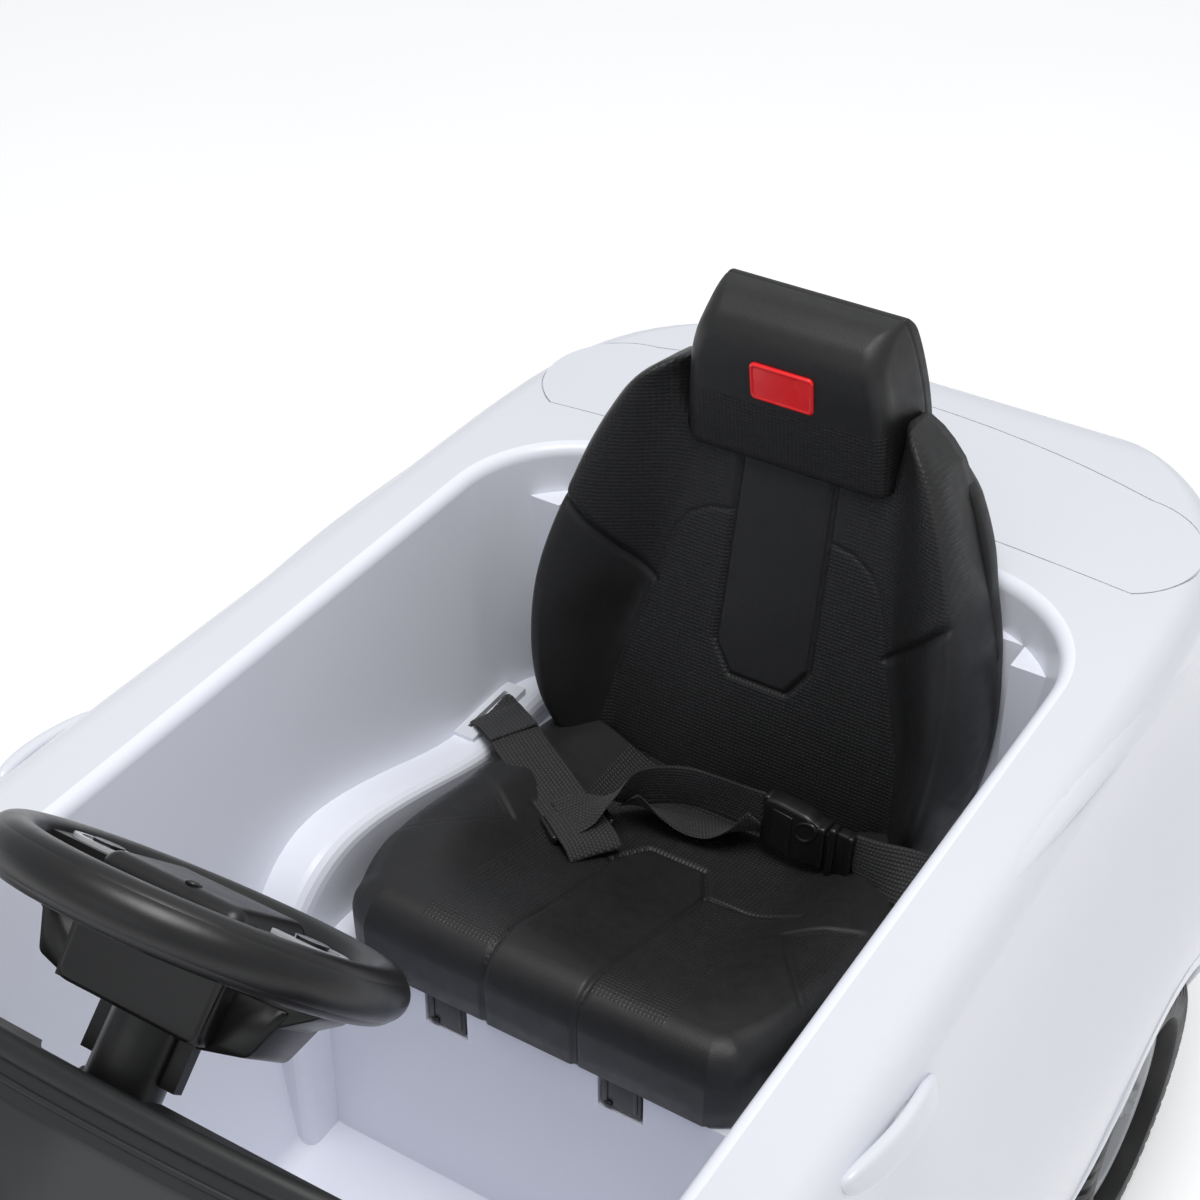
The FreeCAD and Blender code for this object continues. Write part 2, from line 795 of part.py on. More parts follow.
full_void = tub_form(0, 0)
floor_edges = [e for e in full_void.Edges if e.BoundBox.ZMax < tub_floor_height + skin]
full_void = full_void.makeFillet(tub_floor_fillet, floor_edges)
full_outer = tub_form(tub_wall, tub_wall)
far = 2 * body_width
pedestal = block(-far, far, pedestal_front, far, 0, platform_height)
armrest = armrest_form(0, tub_floor_height - skin)
seat_room = lean_prism([(-back_half_width - skin, -back_height), (back_half_width + skin, -back_height),
                        (back_half_width + skin, 2 * back_height),
                        (-back_half_width - skin, 2 * back_height)],
                       -back_height, back_thickness + back_cover_thickness + flange_gap)
shelf = block(-far, far, shelf_front, far, 0, shelf_height).cut(seat_room)
void = full_void.cut([pedestal, armrest, mirrored(armrest), shelf])
under_pedestal = block(-far, far, pedestal_front + tub_wall, far, 0, platform_height - tub_wall)
tub = full_outer.cut(under_pedestal)
tub = tub.cut(void)
hollow = armrest_form(tub_wall, 0).common(block(0, far, pedestal_front + tub_wall, shelf_front, 0, far))
hollow = hollow.common(full_void)
tub = tub.cut([hollow, mirrored(hollow)])
rim_path = cockpit_wire(0, lip_bottom)
lip_start = Vec(cockpit_half_width, cockpit_front + cockpit_front_radius, lip_bottom)
flange_top = rim_height - skin - flange_gap
lip_turn = lip_radius * (1 - math.sqrt(0.5))


def lip_point(out, up):
    """A point of the rim profile at the start of its path."""
    return Vec(cockpit_half_width + out, lip_start.y, up)


lip_profile = [lip_point(0, lip_bottom - tub_wall), lip_point(0, lip_bottom),
               lip_point(lip_radius, rim_height),
               lip_point(lip_radius, flange_top), lip_point(lip_radius + flange_width, flange_top),
               lip_point(lip_radius + flange_width, flange_top - tub_wall),
               lip_point(tub_wall, flange_top - tub_wall), lip_point(tub_wall, lip_bottom - tub_wall)]
lip_edges = [Part.makeLine(lip_profile[0], lip_profile[1]),
             Part.Arc(lip_profile[1], lip_point(lip_turn, rim_height - lip_turn), lip_profile[2]).toShape()]
for index in range(2, len(lip_profile)):
    lip_edges.append(Part.makeLine(lip_profile[index], lip_profile[(index + 1) % len(lip_profile)]))
lip = rim_path.makePipeShell([Part.Wire(lip_edges)], True, False)
tub = tub.fuse(lip)
for side in (1, -1):
    notch_low = min(side * (tab_inner - notch_gap), side * (tab_outer + notch_gap))
    notch_high = max(side * (tab_inner - notch_gap), side * (tab_outer + notch_gap))
    tub = tub.cut(block(notch_low, notch_high, pedestal_front - skin, notch_rear,
                        tab_bottom - notch_gap, platform_height + skin))
    tub = tub.fuse(block(notch_low, notch_high, pedestal_front + tub_wall, notch_rear,
                         tab_bottom - notch_gap - notch_shelf, tab_bottom - notch_gap))
    tub = tub.cut(block(side * bezel_x - bezel_slot_half_width, side * bezel_x + bezel_slot_half_width,
                        bezel_front + bezel_slot_inset, bezel_rear - bezel_slot_inset,
                        platform_height, armrest_height))

# Column boss and bush
boss = column_tube(bush_place, bush_place + bush_length, boss_radius)
bush_hole = column_tube(bush_place - bush_collar, bush_place + bush_length + bush_collar, bush_radius)
collar_room = column_tube(bush_place - socket_radius, bush_place, bush_collar_radius + flange_gap)
tub = tub.fuse(boss).cut(bush_hole).cut(collar_room)
save("cockpit_tub", one(tub))
bush = column_tube(bush_place, bush_place + bush_length, bush_radius)
bush = bush.fuse(column_tube(bush_place - bush_collar, bush_place, bush_collar_radius))
bush = bush.cut(column_tube(bush_place - 2 * bush_collar, bush_place + bush_length + bush_collar,
                            column_radius + running_gap))
save("column_bush", one(bush))

# Windscreen: a bowed sloping panel with a framed pane


def screen_point(x, rise_share, depth):
    """A point on the windscreen, by place across, share of its height and depth behind its front face."""
    side_share = (x / screen_half_width) ** 2
    low = Vec(x, screen_base_y + screen_bow * side_share, screen_base_z)
    high = Vec(x, screen_top_y + screen_bow * side_share, screen_top_z - screen_fall * side_share)
    along = high - low
    normal = Vec(0, along.z, -along.y)
    normal.normalize()
    return low + along * rise_share + normal * depth


def screen_form(half_width, low_share, high_share, depth0, depth1):
    """A piece of the windscreen panel between two depths."""
    wires = []
    for step in range(-screen_stations, screen_stations + 1):
        x = half_width * step / screen_stations
        wires.append(polygon([screen_point(x, low_share, depth0), screen_point(x, high_share, depth0),
                              screen_point(x, high_share, depth1), screen_point(x, low_share, depth1)]))
    return Part.makeLoft(wires, True, False)


screen = screen_form(screen_half_width, 0, 1, 0, screen_thickness)
window = screen_form(pane_half_width, pane_low_share, pane_high_share, -screen_thickness,
                     2 * screen_thickness)
screen = screen.cut(window).cut(outer_form)
pane_front = (screen_thickness - pane_thickness) / 2
pane = screen_form(pane_half_width, pane_low_share, pane_high_share, pane_front,
                   pane_front + pane_thickness)
save("windscreen_frame", one(screen))
save("windscreen_pane", one(pane))

# Dashboard under the windscreen, with its block inside the cockpit
dash_foot = rim_height + dash_gap


def dash_wire(x):
    """The side outline of the dashboard brow at one place across the car."""
    high = screen_point(x, 1, screen_thickness)
    low = screen_point(x, 0, screen_thickness)
    slope = (high.y - low.y) / (high.z - low.z)
    front = Vec(x, low.y + slope * (dash_foot - low.z), dash_foot)
    brow = Vec(x, dash_rear - (dash_rear - high.y) * dash_brow_share, high.z - dash_inset)
    return polygon([front, high, brow, Vec(x, dash_rear, dash_foot)])


dash_wires = [dash_wire((screen_half_width - dash_inset) * step / screen_stations)
              for step in range(-screen_stations, screen_stations + 1)]
brow = Part.makeLoft(dash_wires, True, False)
brow_middle = brow.CenterOfMass
hollow_turn = FreeCAD.Matrix()
hollow_turn.move(brow_middle * -1)
hollow_turn.scale(dash_hollow_share, dash_hollow_share, dash_hollow_share)
hollow_turn.move(brow_middle)
dash_lower = block(-dash_lower_half_width, dash_lower_half_width, dash_lower_front, dash_rear,
                   dash_lower_bottom, dash_foot + skin)
dash_room = block(-dash_lower_half_width + tub_wall, dash_lower_half_width - tub_wall,
                  dash_lower_front - skin,
                  dash_rear - dash_face, dash_lower_bottom + tub_wall, dash_foot + 2 * skin)
brow_room = brow.transformGeometry(hollow_turn).cut(block(-far, far, dash_rear - dash_face, far, 0, far))
dash = brow.fuse(dash_lower).cut(dash_room).cut(brow_room)
dash = dash.cut(column_tube(0, crank_place, socket_radius + socket_fin + dash_column_gap))
power_spot = Vec(power_x, dash_rear, power_z)
dash = dash.cut(Part.makeCylinder(power_radius + power_gap, power_height + power_travel,
                                  power_spot, axis_y * -1))
dash = dash.cut(block(switch_x - switch_half_width - switch_gap, switch_x + switch_half_width + switch_gap,
                      dash_rear - switch_pocket_depth, dash_rear + skin,
                      switch_z - switch_pocket_half_height, switch_z + switch_pocket_half_height))
switch_reach = switch_half_width + switch_gap + switch_pin_length
switch_pivot = Vec(switch_x - switch_reach, dash_rear - switch_pivot_depth, switch_z)
dash = dash.cut(Part.makeCylinder(switch_pin_radius + running_gap, 2 * switch_reach, switch_pivot, axis_x))
charge_spot = Vec(socket_x, dash_rear, socket_z)
dash = dash.cut(Part.makeCylinder(charge_body_radius, charge_body_length, charge_spot, axis_y * -1))
save("dashboard", one(dash))
power_button = Part.makeCylinder(power_radius, power_height, power_spot + axis_y * power_proud, axis_y * -1)
save("power_button", power_button)
switch = block(switch_x - switch_half_width, switch_x + switch_half_width,
               dash_rear - switch_depth, dash_rear + switch_proud,
               switch_z - switch_half_height, switch_z + switch_half_height)
switch_pin = switch_reach - switch_pin_end_gap
switch = switch.fuse(Part.makeCylinder(switch_pin_radius, 2 * switch_pin,
                                       Vec(switch_x - switch_pin, switch_pivot.y, switch_z), axis_x))
save("gear_switch", one(switch))
charge = Part.makeCylinder(charge_body_radius, charge_body_length, charge_spot, axis_y * -1)
charge = charge.fuse(Part.makeCylinder(charge_flange_radius, charge_flange, charge_spot, axis_y))
charge = charge.cut(Part.makeCylinder(charge_bore_radius, charge_bore_depth + charge_flange,
                                      charge_spot + axis_y * charge_flange, axis_y * -1))
save("charge_socket", one(charge))

# Steering wheel in its own frame: x across, y towards the driver's lap, z up the column
wheel_turn = FreeCAD.Rotation(axis_x, column_side, column_up, "XYZ")
wheel_place = FreeCAD.Placement(wheel_centre, wheel_turn)


def placed(shape):
    """Move a piece from the steering wheel's frame to the car."""
    moved = shape.copy()
    moved.Placement = wheel_place
    return moved


wheel_reach = 2 * (steering_radius + steering_tube)
above = block(-wheel_reach, wheel_reach, -wheel_reach, wheel_reach, 0, wheel_reach)
below = block(-wheel_reach, wheel_reach, -wheel_reach, wheel_reach, -wheel_reach, 0)
tube = Part.makeTorus(steering_radius, steering_tube)
spokes = block(-steering_radius, steering_radius, -spoke_half_width, spoke_half_width, -spoke_depth,
               spoke_depth)
lower_web = Part.makeCylinder(steering_radius, 2 * lower_web_depth, Vec(0, 0, -lower_web_depth))
lower_web = lower_web.common(block(-wheel_reach, wheel_reach, 0, wheel_reach, -spoke_depth, spoke_depth))
spokes = spokes.fuse(lower_web)
pad = block(-hub_pad_half_width, hub_pad_half_width, -hub_pad_half_height, hub_pad_half_height, 0,
            hub_pad_rise)
pad = pad.makeFillet(hub_pad_fillet, [e for e in pad.Edges if e.BoundBox.ZMax > hub_pad_rise / 4])
wheel_front = tube.common(above).fuse([spokes.common(above), pad])
horn_top = spoke_depth + horn_button_proud
horn_floor = horn_top - horn_button_height - horn_travel
for side in (1, -1):
    wheel_front = wheel_front.cut(Part.makeCylinder(horn_button_radius + horn_pocket_gap,
                                                    horn_top - horn_floor,
                                                    Vec(side * horn_button_x, 0, horn_floor)))
wheel_rear = tube.common(below).fuse(spokes.common(below))
for side in (1, -1):
    wheel_rear = wheel_rear.cut(Part.makeCylinder(horn_button_radius + horn_pocket_gap,
                                                  horn_top - horn_floor,
                                                  Vec(side * horn_button_x, 0, horn_floor)))


def flat_rectangle(half_width, half_height, z):
    """A rectangle across the steering axis."""
    return polygon([Vec(-half_width, -half_height, z), Vec(half_width, -half_height, z),
                    Vec(half_width, half_height, z), Vec(-half_width, half_height, z)])


hub_box = Part.makeLoft([flat_rectangle(hub_box_half_width, hub_box_half_height, -spoke_depth),
                         flat_rectangle(hub_box_foot_half_width, hub_box_foot_half_height, -hub_box_depth)],
                        True, True)
socket = Part.makeCylinder(socket_radius, socket_end - hub_box_depth, Vec(0, 0, -socket_end))
fin_reach = socket_radius + socket_fin
fins = block(-fin_reach, fin_reach, -socket_fin_thickness / 2, socket_fin_thickness / 2,
             -socket_fin_end, -hub_box_depth)
wheel_rear = wheel_rear.fuse([hub_box, socket, fins])
wheel_rear = wheel_rear.cut(Part.makeCylinder(column_radius, socket_end + column_top,
                                              Vec(0, 0, -socket_end)))
bolt_hole = Part.makeCylinder(bolt_radius, 2 * socket_radius, Vec(-socket_radius, 0, -bolt_place), axis_x)
wheel_rear = wheel_rear.cut(bolt_hole)
wheel_front = wheel_front.cut(Part.makeCylinder(column_radius, socket_end + column_top,
                                                Vec(0, 0, -socket_end)))
save("steering_wheel_front", placed(one(wheel_front)))
save("steering_wheel_rear", placed(one(wheel_rear)))
for name, side in (("horn_button_left", 1), ("horn_button_right", -1)):
    button = Part.makeCylinder(horn_button_radius, horn_button_height,
                               Vec(side * horn_button_x, 0, horn_floor + horn_travel))
    save(name, placed(button))
bolt = Part.makeCylinder(bolt_radius, 2 * socket_radius, Vec(-socket_radius, 0, -bolt_place), axis_x)
bolt = bolt.fuse([Part.makeCylinder(bolt_head_radius, bolt_head, Vec(socket_radius, 0, -bolt_place),
                                    axis_x),
                  Part.makeCylinder(bolt_head_radius, bolt_head, Vec(-socket_radius, 0, -bolt_place),
                                    axis_x * -1)])
save("steering_bolt", placed(one(bolt)))
column = Part.makeCylinder(column_radius, crank_place + crank_thickness + column_top,
                           Vec(0, 0, -crank_place - crank_thickness))
crank = block(-crank_half_width, crank_half_width, -crank_radius, 0, -crank_place - crank_thickness,
              -crank_place)
crank = crank.fuse([Part.makeCylinder(crank_half_width, crank_thickness,
                                      Vec(0, 0, -crank_place - crank_thickness)),
                    Part.makeCylinder(crank_half_width, crank_thickness,
                                      Vec(0, -crank_radius, -crank_place - crank_thickness)),
                    Part.makeCylinder(crank_pin_radius, crank_pin_length,
                                      Vec(0, -crank_radius, -crank_place - crank_pin_length))])
column = column.fuse(crank).cut(bolt_hole)
save("steering_column", placed(one(column)))

# Tie rod with its upright fork for the crank pin
tie_y = front_axle_y - steer_arm_length
tie_bottom = steer_arm_bottom + steer_arm_thickness + tie_rod_gap
tie_top = tie_bottom + tie_rod_thickness
tie_rod = block(-kingpin_x, kingpin_x, tie_y - tie_rod_half_width, tie_y + tie_rod_half_width, tie_bottom,
                tie_top)
for side in (1, -1):
    eye = Vec(side * kingpin_x, tie_y, tie_bottom)
    tie_rod = tie_rod.fuse([Part.makeCylinder(tie_eye_radius, tie_rod_thickness, eye),
                            Part.makeCylinder(tie_pin_radius, steer_arm_thickness + 2 * tie_rod_gap,
                                              eye, axis_z * -1)])
fork = block(-fork_half_width, fork_half_width, -crank_radius - fork_down, -crank_radius + fork_up,
             -fork_place - fork_thickness / 2, -fork_place + fork_thickness / 2)
slot_half = crank_pin_radius + fork_slot_gap
fork = fork.cut(block(-slot_half, slot_half, -crank_radius - fork_slot_down, -crank_radius + fork_slot_up,
                      -fork_place - fork_thickness, -fork_place + fork_thickness))
fork = placed(one(fork))
fork_post = block(-fork_post_half_width, fork_post_half_width, fork_post_front, fork_post_rear,
                  tie_bottom, fork_post_top)
over_fork = block(-wheel_reach, wheel_reach, -wheel_reach, wheel_reach, -fork_place, wheel_reach)
fork_post = fork_post.cut(placed(over_fork))
tie_rod = tie_rod.fuse([fork, fork_post])
save("tie_rod", one(tie_rod))

# Chassis pan with rails, posts, kingpin brackets and axle posts
sill_x = body_section_shares[10][3] * body_width / 2
sill_z = body_section_shares[10][6] * rim_height
sill_front = front_axle_y + front_liner_radius + liner_thickness + pan_end_gap
sill_rear = rear_axle_y - rear_liner_radius - liner_thickness - pan_end_gap
front_bar = front_axle_y - front_liner_radius - liner_thickness - pan_end_gap
rear_bar = rear_axle_y + rear_liner_radius + liner_thickness + pan_end_gap
well_reach = liner_thickness + 2 * pan_end_gap
pan = block(-pan_beam_half_width, pan_beam_half_width, -pan_half_length, pan_half_length, pan_bottom,
            pan_top)
pan = pan.fuse([block(-sill_x, sill_x, sill_front - well_reach, sill_rear + well_reach, pan_bottom,
                      pan_top),
                block(-pan_bar_half_width, pan_bar_half_width, -pan_half_length, front_bar + well_reach,
                      pan_bottom, pan_top),
                block(-pan_bar_half_width, pan_bar_half_width, rear_bar - well_reach, pan_half_length,
                      pan_bottom, pan_top)])
rail = block(sill_x - rail_width, sill_x, sill_front, sill_rear, pan_bottom, sill_z - flange_gap)
pan = pan.fuse([rail, mirrored(rail)])
for x in (post_x, -post_x):
    for y in (post_front_y, post_rear_y):
        pan = pan.fuse(Part.makeCylinder(post_radius, tub_floor_height - tub_wall - pan_bottom,
                                         Vec(x, y, pan_bottom)))
axle_z = wheel_radius
post = block(axle_post_x - axle_post_thickness, axle_post_x, rear_axle_y - axle_post_half_length,
             rear_axle_y + axle_post_half_length, pan_bottom, axle_z + axle_post_rise)
pan = pan.fuse([post, mirrored(post)])
knuckle_low = axle_z - knuckle_half_height
knuckle_high = axle_z + knuckle_half_height
plate_inner = pan_beam_half_width - bracket_plate
plate = block(plate_inner, pan_beam_half_width, front_axle_y - bracket_half_length,
              front_axle_y + bracket_half_length, pan_bottom, knuckle_high + knuckle_gap + bracket_arm)
bracket = [plate]
for arm_z in (knuckle_low - knuckle_gap - bracket_arm, knuckle_high + knuckle_gap):
    bracket.append(block(plate_inner, kingpin_x, front_axle_y - bracket_half_width,
                         front_axle_y + bracket_half_width, arm_z, arm_z + bracket_arm))
    bracket.append(Part.makeCylinder(knuckle_radius, bracket_arm, Vec(kingpin_x, front_axle_y, arm_z)))
for item in bracket:
    pan = pan.fuse([item, mirrored(item)])
pin_low = knuckle_low - knuckle_gap - bracket_arm
pin_length = 2 * (knuckle_half_height + knuckle_gap + bracket_arm)
for side in (1, -1):
    pan = pan.cut(Part.makeCylinder(kingpin_radius, pin_length,
                                    Vec(side * kingpin_x, front_axle_y, pin_low)))
pan = pan.cut(Part.makeCylinder(axle_radius, 2 * far, Vec(-far, rear_axle_y, axle_z), axis_x))
save("chassis_pan", one(pan))
kingpin = Part.makeCylinder(kingpin_radius, pin_length, Vec(kingpin_x, front_axle_y, pin_low))
kingpin = kingpin.fuse(Part.makeCylinder(kingpin_head_radius, kingpin_head,
                                         Vec(kingpin_x, front_axle_y, pin_low + pin_length)))
save("kingpins", pair(one(kingpin)))

# Steering knuckles with their stub axles and nuts
stub_end = wheel_centre_x + hub_outboard + nut_gap + nut_length
knuckle = Part.makeCylinder(knuckle_radius, 2 * knuckle_half_height,
                            Vec(kingpin_x, front_axle_y, knuckle_low))
wheel_inner_x = wheel_centre_x - tyre_width / 2
collar_end = wheel_inner_x - nut_gap
knuckle = knuckle.fuse([Part.makeCylinder(axle_radius, stub_end - kingpin_x,
                                          Vec(kingpin_x, front_axle_y, axle_z), axis_x),
                        Part.makeCylinder(stub_collar_radius, collar_end - kingpin_x,
                                          Vec(kingpin_x, front_axle_y, axle_z), axis_x),
                        block(kingpin_x - steer_arm_half_width, kingpin_x + steer_arm_half_width, tie_y,
                              front_axle_y, steer_arm_bottom, steer_arm_bottom + steer_arm_thickness),
                        Part.makeCylinder(steer_arm_half_width, steer_arm_thickness,
                                          Vec(kingpin_x, tie_y, steer_arm_bottom))])
knuckle = knuckle.cut([Part.makeCylinder(kingpin_radius + running_gap, 2 * knuckle_half_height,
                                         Vec(kingpin_x, front_axle_y, knuckle_low)),
                       Part.makeCylinder(tie_pin_radius + running_gap, steer_arm_thickness,
                                         Vec(kingpin_x, tie_y, steer_arm_bottom))])
front_nut = Part.makeCylinder(nut_radius, nut_length, Vec(stub_end - nut_length, front_axle_y, axle_z),
                              axis_x)
front_nut = front_nut.cut(Part.makeCylinder(axle_radius, nut_length,
                                            Vec(stub_end - nut_length, front_axle_y, axle_z), axis_x))
left_knuckle = Part.makeCompound([one(knuckle), front_nut])
save("knuckle_left", left_knuckle)
save("knuckle_right", mirrored(left_knuckle))

# Rear axle and its nuts
axle_reach = stub_end
save("rear_axle", Part.makeCylinder(axle_radius, 2 * axle_reach, Vec(-axle_reach, rear_axle_y, axle_z),
                                    axis_x))
rear_nut = front_nut.copy()
rear_nut.translate(Vec(0, rear_axle_y - front_axle_y, 0))
save("rear_axle_nuts", pair(rear_nut))

# Wheels: moulded tyre with its web and hub, and a snap-in wheel cover
half_tyre = tyre_width / 2
tyre_points = [(axle_radius + running_gap, -half_tyre), (hub_radius, -half_tyre),
               (hub_radius, -web_inboard),
               (web_radius, -web_inboard), (rim_seat_radius, -half_tyre),
               (wheel_radius - tread_chamfer, -half_tyre),
               (wheel_radius, -half_tyre + tread_chamfer), (wheel_radius, half_tyre - tread_chamfer),
               (wheel_radius - tread_chamfer, half_tyre), (rim_seat_radius, half_tyre),
               (rim_seat_radius, web_outboard), (hub_radius, web_outboard), (hub_radius, hub_outboard),
               (axle_radius + running_gap, hub_outboard)]
tyre_face = Part.Face(polygon([Vec(x, r, 0) for r, x in tyre_points]))
tyre = tyre_face.revolve(origin, axis_x, 360)
cover = Part.makeCylinder(cover_radius, cover_thickness, Vec(half_tyre - cover_thickness, 0, 0), axis_x)
for index in range(cover_window_count):
    turn = 360.0 / cover_window_count * index
    sector = []
    for r, sign in ((cover_window_inner, -1), (cover_window_outer, -1), (cover_window_outer, 1),
                    (cover_window_inner, 1)):
        angle = math.radians(turn + sign * cover_window_half_angle)
        sector.append(Vec(half_tyre - 2 * cover_thickness, r * math.cos(angle), r * math.sin(angle)))
    cover = cover.cut(prism(sector, axis_x * (2 * cover_thickness + skin)))
cover = one(cover)
wheel_spots = (("front_left", 1, front_axle_y), ("front_right", -1, front_axle_y),
               ("rear_left", 1, rear_axle_y), ("rear_right", -1, rear_axle_y))
for name, side, y in wheel_spots:
    for prefix, source in (("tyre_", tyre), ("wheel_cover_", cover)):
        piece = source.copy()
        piece.translate(Vec(wheel_centre_x, y, axle_z))
        if side < 0:
            piece = mirrored(piece)
        save(prefix + name, piece)

# Wheel arch liners standing on the pan
liners = []
for y, radius, inner, outer in ((front_axle_y, front_liner_radius, front_liner_inner, front_liner_outer),
                                (rear_axle_y, rear_liner_radius, rear_liner_inner, rear_liner_outer)):
    liner = arch_cut(y, radius + liner_thickness, inner, outer)
    liner = liner.cut(arch_cut(y, radius, inner - skin, outer + skin))
    liner = liner.cut(block(-far, far, -far, far, -far, pan_top)).Solids[0]
    liners.extend([liner, mirrored(liner)])
save("wheel_arch_liners", Part.makeCompound(liners))

# Drive: gears on the rear left wheel, in a case on the pan


def gear(teeth, width, x, y, z, turn, bore):
    """A spur gear around an axis along the car's width, with one tooth centred at a turn."""
    pitch_radius = gear_module * teeth / 2
    root = pitch_radius - gear_module * gear_dedendum_share
    tip = pitch_radius + gear_module * gear_addendum_share
    pitch = 2 * math.pi / teeth
    points = []
    for index in range(teeth):
        middle = turn + pitch * index
        for radius, share in ((root, -tooth_root_share), (tip, -tooth_tip_share),
                              (tip, tooth_tip_share), (root, tooth_root_share)):
            angle = middle + pitch * share
            points.append(Vec(x, y + radius * math.cos(angle), z + radius * math.sin(angle)))
    wheel = prism(points, axis_x * width)
    return wheel.cut(Part.makeCylinder(bore, width, Vec(x, y, z), axis_x))


to_idler = math.radians(idler_angle)
to_motor = math.radians(motor_angle)
output_y = rear_axle_y
output_z = axle_z
idler_distance = gear_module * (output_teeth + small_teeth) / 2
motor_distance = gear_module * (big_teeth + pinion_teeth) / 2
idler_y = output_y + idler_distance * math.cos(to_idler)
idler_z = output_z + idler_distance * math.sin(to_idler)
motor_y = idler_y + motor_distance * math.cos(to_motor)
motor_z = idler_z + motor_distance * math.sin(to_motor)
gear_bore = axle_radius + running_gap
output = gear(output_teeth, gear_width, output_gear_inner, output_y, output_z, to_idler, gear_bore)
dog = Part.makeCylinder(dog_radius, wheel_inner_x - output_gear_inner,
                        Vec(output_gear_inner, output_y, output_z),
                        axis_x)
dog = dog.cut(Part.makeCylinder(gear_bore, wheel_inner_x - output_gear_inner,
                                Vec(output_gear_inner, output_y, output_z), axis_x))
save("output_gear", one(output.fuse(dog)))
idler_bore = idler_pin_radius + running_gap
small_turn = to_idler + math.pi + math.pi / small_teeth
idler = gear(small_teeth, big_gear_inner - output_gear_inner, output_gear_inner, idler_y, idler_z,
             small_turn,
             idler_bore)
idler = idler.fuse(gear(big_teeth, big_gear_width, big_gear_inner, idler_y, idler_z, to_motor, idler_bore))
save("idler_gear", one(idler))
pinion_turn = to_motor + math.pi + math.pi / pinion_teeth
pinion = gear(pinion_teeth, big_gear_width, big_gear_inner, motor_y, motor_z, pinion_turn,
              motor_shaft_radius)
shaft_start = case_inner - motor_length / 2
pinion = pinion.fuse(Part.makeCylinder(motor_shaft_radius, big_gear_inner + big_gear_width - shaft_start,
                                       Vec(shaft_start, motor_y, motor_z), axis_x))
save("motor_pinion", one(pinion))
case = block(case_inner, case_outer, case_front, case_rear, pan_top, case_top)
case = case.cut(block(case_inner + case_wall, case_outer + skin, case_front + case_wall,
                      case_rear - case_wall,
                      pan_top + case_wall, case_top - case_wall))
shaft_hole = motor_shaft_radius + motor_shaft_gap
hole_start = case_inner - case_wall
hole_length = 2 * case_wall + skin
case = case.cut([Part.makeCylinder(shaft_hole, hole_length, Vec(hole_start, motor_y, motor_z), axis_x),
                 Part.makeCylinder(axle_radius, hole_length, Vec(hole_start, output_y, output_z), axis_x)])
case = case.fuse(Part.makeCylinder(idler_pin_radius, case_outer - case_inner - case_wall / 2,
                                   Vec(case_inner + case_wall / 2, idler_y, idler_z), axis_x))
save("gearbox_case", one(case))
case_lid = block(case_outer, case_outer + case_cover, case_front, case_rear, pan_top, case_top)
case_lid = case_lid.cut(Part.makeCylinder(dog_radius + motor_shaft_gap, 2 * case_cover,
                                          Vec(case_outer - case_cover, output_y, output_z), axis_x))
save("gearbox_cover", one(case_lid))
motor = Part.makeCylinder(motor_radius, motor_length, Vec(case_inner - motor_length, motor_y, motor_z),
                          axis_x)
motor = motor.cut(Part.makeCylinder(motor_shaft_radius + running_gap, motor_length / 2 + motor_shaft_gap,
                                    Vec(case_inner - motor_length / 2 - motor_shaft_gap, motor_y,
                                        motor_z), axis_x))
save("motor", one(motor))
save("battery", block(-battery_half_width, battery_half_width, battery_front, battery_rear, pan_top,
                      battery_top))
save("control_box", block(control_x_low, control_x_high, control_front, control_rear, pan_top, control_top))

# Pedal on its floor bracket
hinge_z = tub_floor_height + pedal_hinge_rise
pedal_hinge = Vec(0, pedal_hinge_y, hinge_z)
lift = math.radians(pedal_angle)
pedal_along = Vec(0, -math.cos(lift), math.sin(lift))
pedal_normal = Vec(0, math.sin(lift), math.cos(lift))
pedal_low = pedal_x - pedal_half_width
pedal_corner = pedal_hinge + axis_x * pedal_low - pedal_normal * (pedal_thickness / 2)
pedal_outline = [pedal_corner, pedal_corner + pedal_along * pedal_length,
                 pedal_corner + pedal_along * pedal_length + pedal_normal * pedal_thickness,
                 pedal_corner + pedal_normal * pedal_thickness]
pedal = prism(pedal_outline, axis_x * (2 * pedal_half_width))
pedal = pedal.fuse(Part.makeCylinder(pedal_barrel_radius, 2 * pedal_half_width,
                                     Vec(pedal_low, pedal_hinge_y, hinge_z), axis_x))
pin_reach = pedal_half_width + pedal_ear_gap + pedal_ear
pedal = pedal.fuse(Part.makeCylinder(pedal_pin_radius, 2 * pin_reach,
                                     Vec(pedal_x - pin_reach, pedal_hinge_y, hinge_z), axis_x))
save("pedal", one(pedal))
bracket_base = block(pedal_x - pin_reach, pedal_x + pin_reach, pedal_base_front, pedal_base_rear,
                     tub_floor_height, tub_floor_height + pedal_base_thickness)
ear_inner = pedal_half_width + pedal_ear_gap
for x0 in (pedal_x - pin_reach, pedal_x + ear_inner):
    ear = block(x0, x0 + pedal_ear, pedal_hinge_y - pedal_ear_half_length,
                pedal_hinge_y + pedal_ear_half_length,
                tub_floor_height, hinge_z)
    ear = ear.fuse(Part.makeCylinder(pedal_ear_half_length, pedal_ear, Vec(x0, pedal_hinge_y, hinge_z),
                                     axis_x))
    bracket_base = bracket_base.fuse(ear)
bracket_base = bracket_base.cut(Part.makeCylinder(pedal_pin_radius + running_gap, 2 * pin_reach,
                                                  Vec(pedal_x - pin_reach, pedal_hinge_y, hinge_z), axis_x))
save("pedal_bracket", one(bracket_base))

# Seat base: a dished loft with front tabs


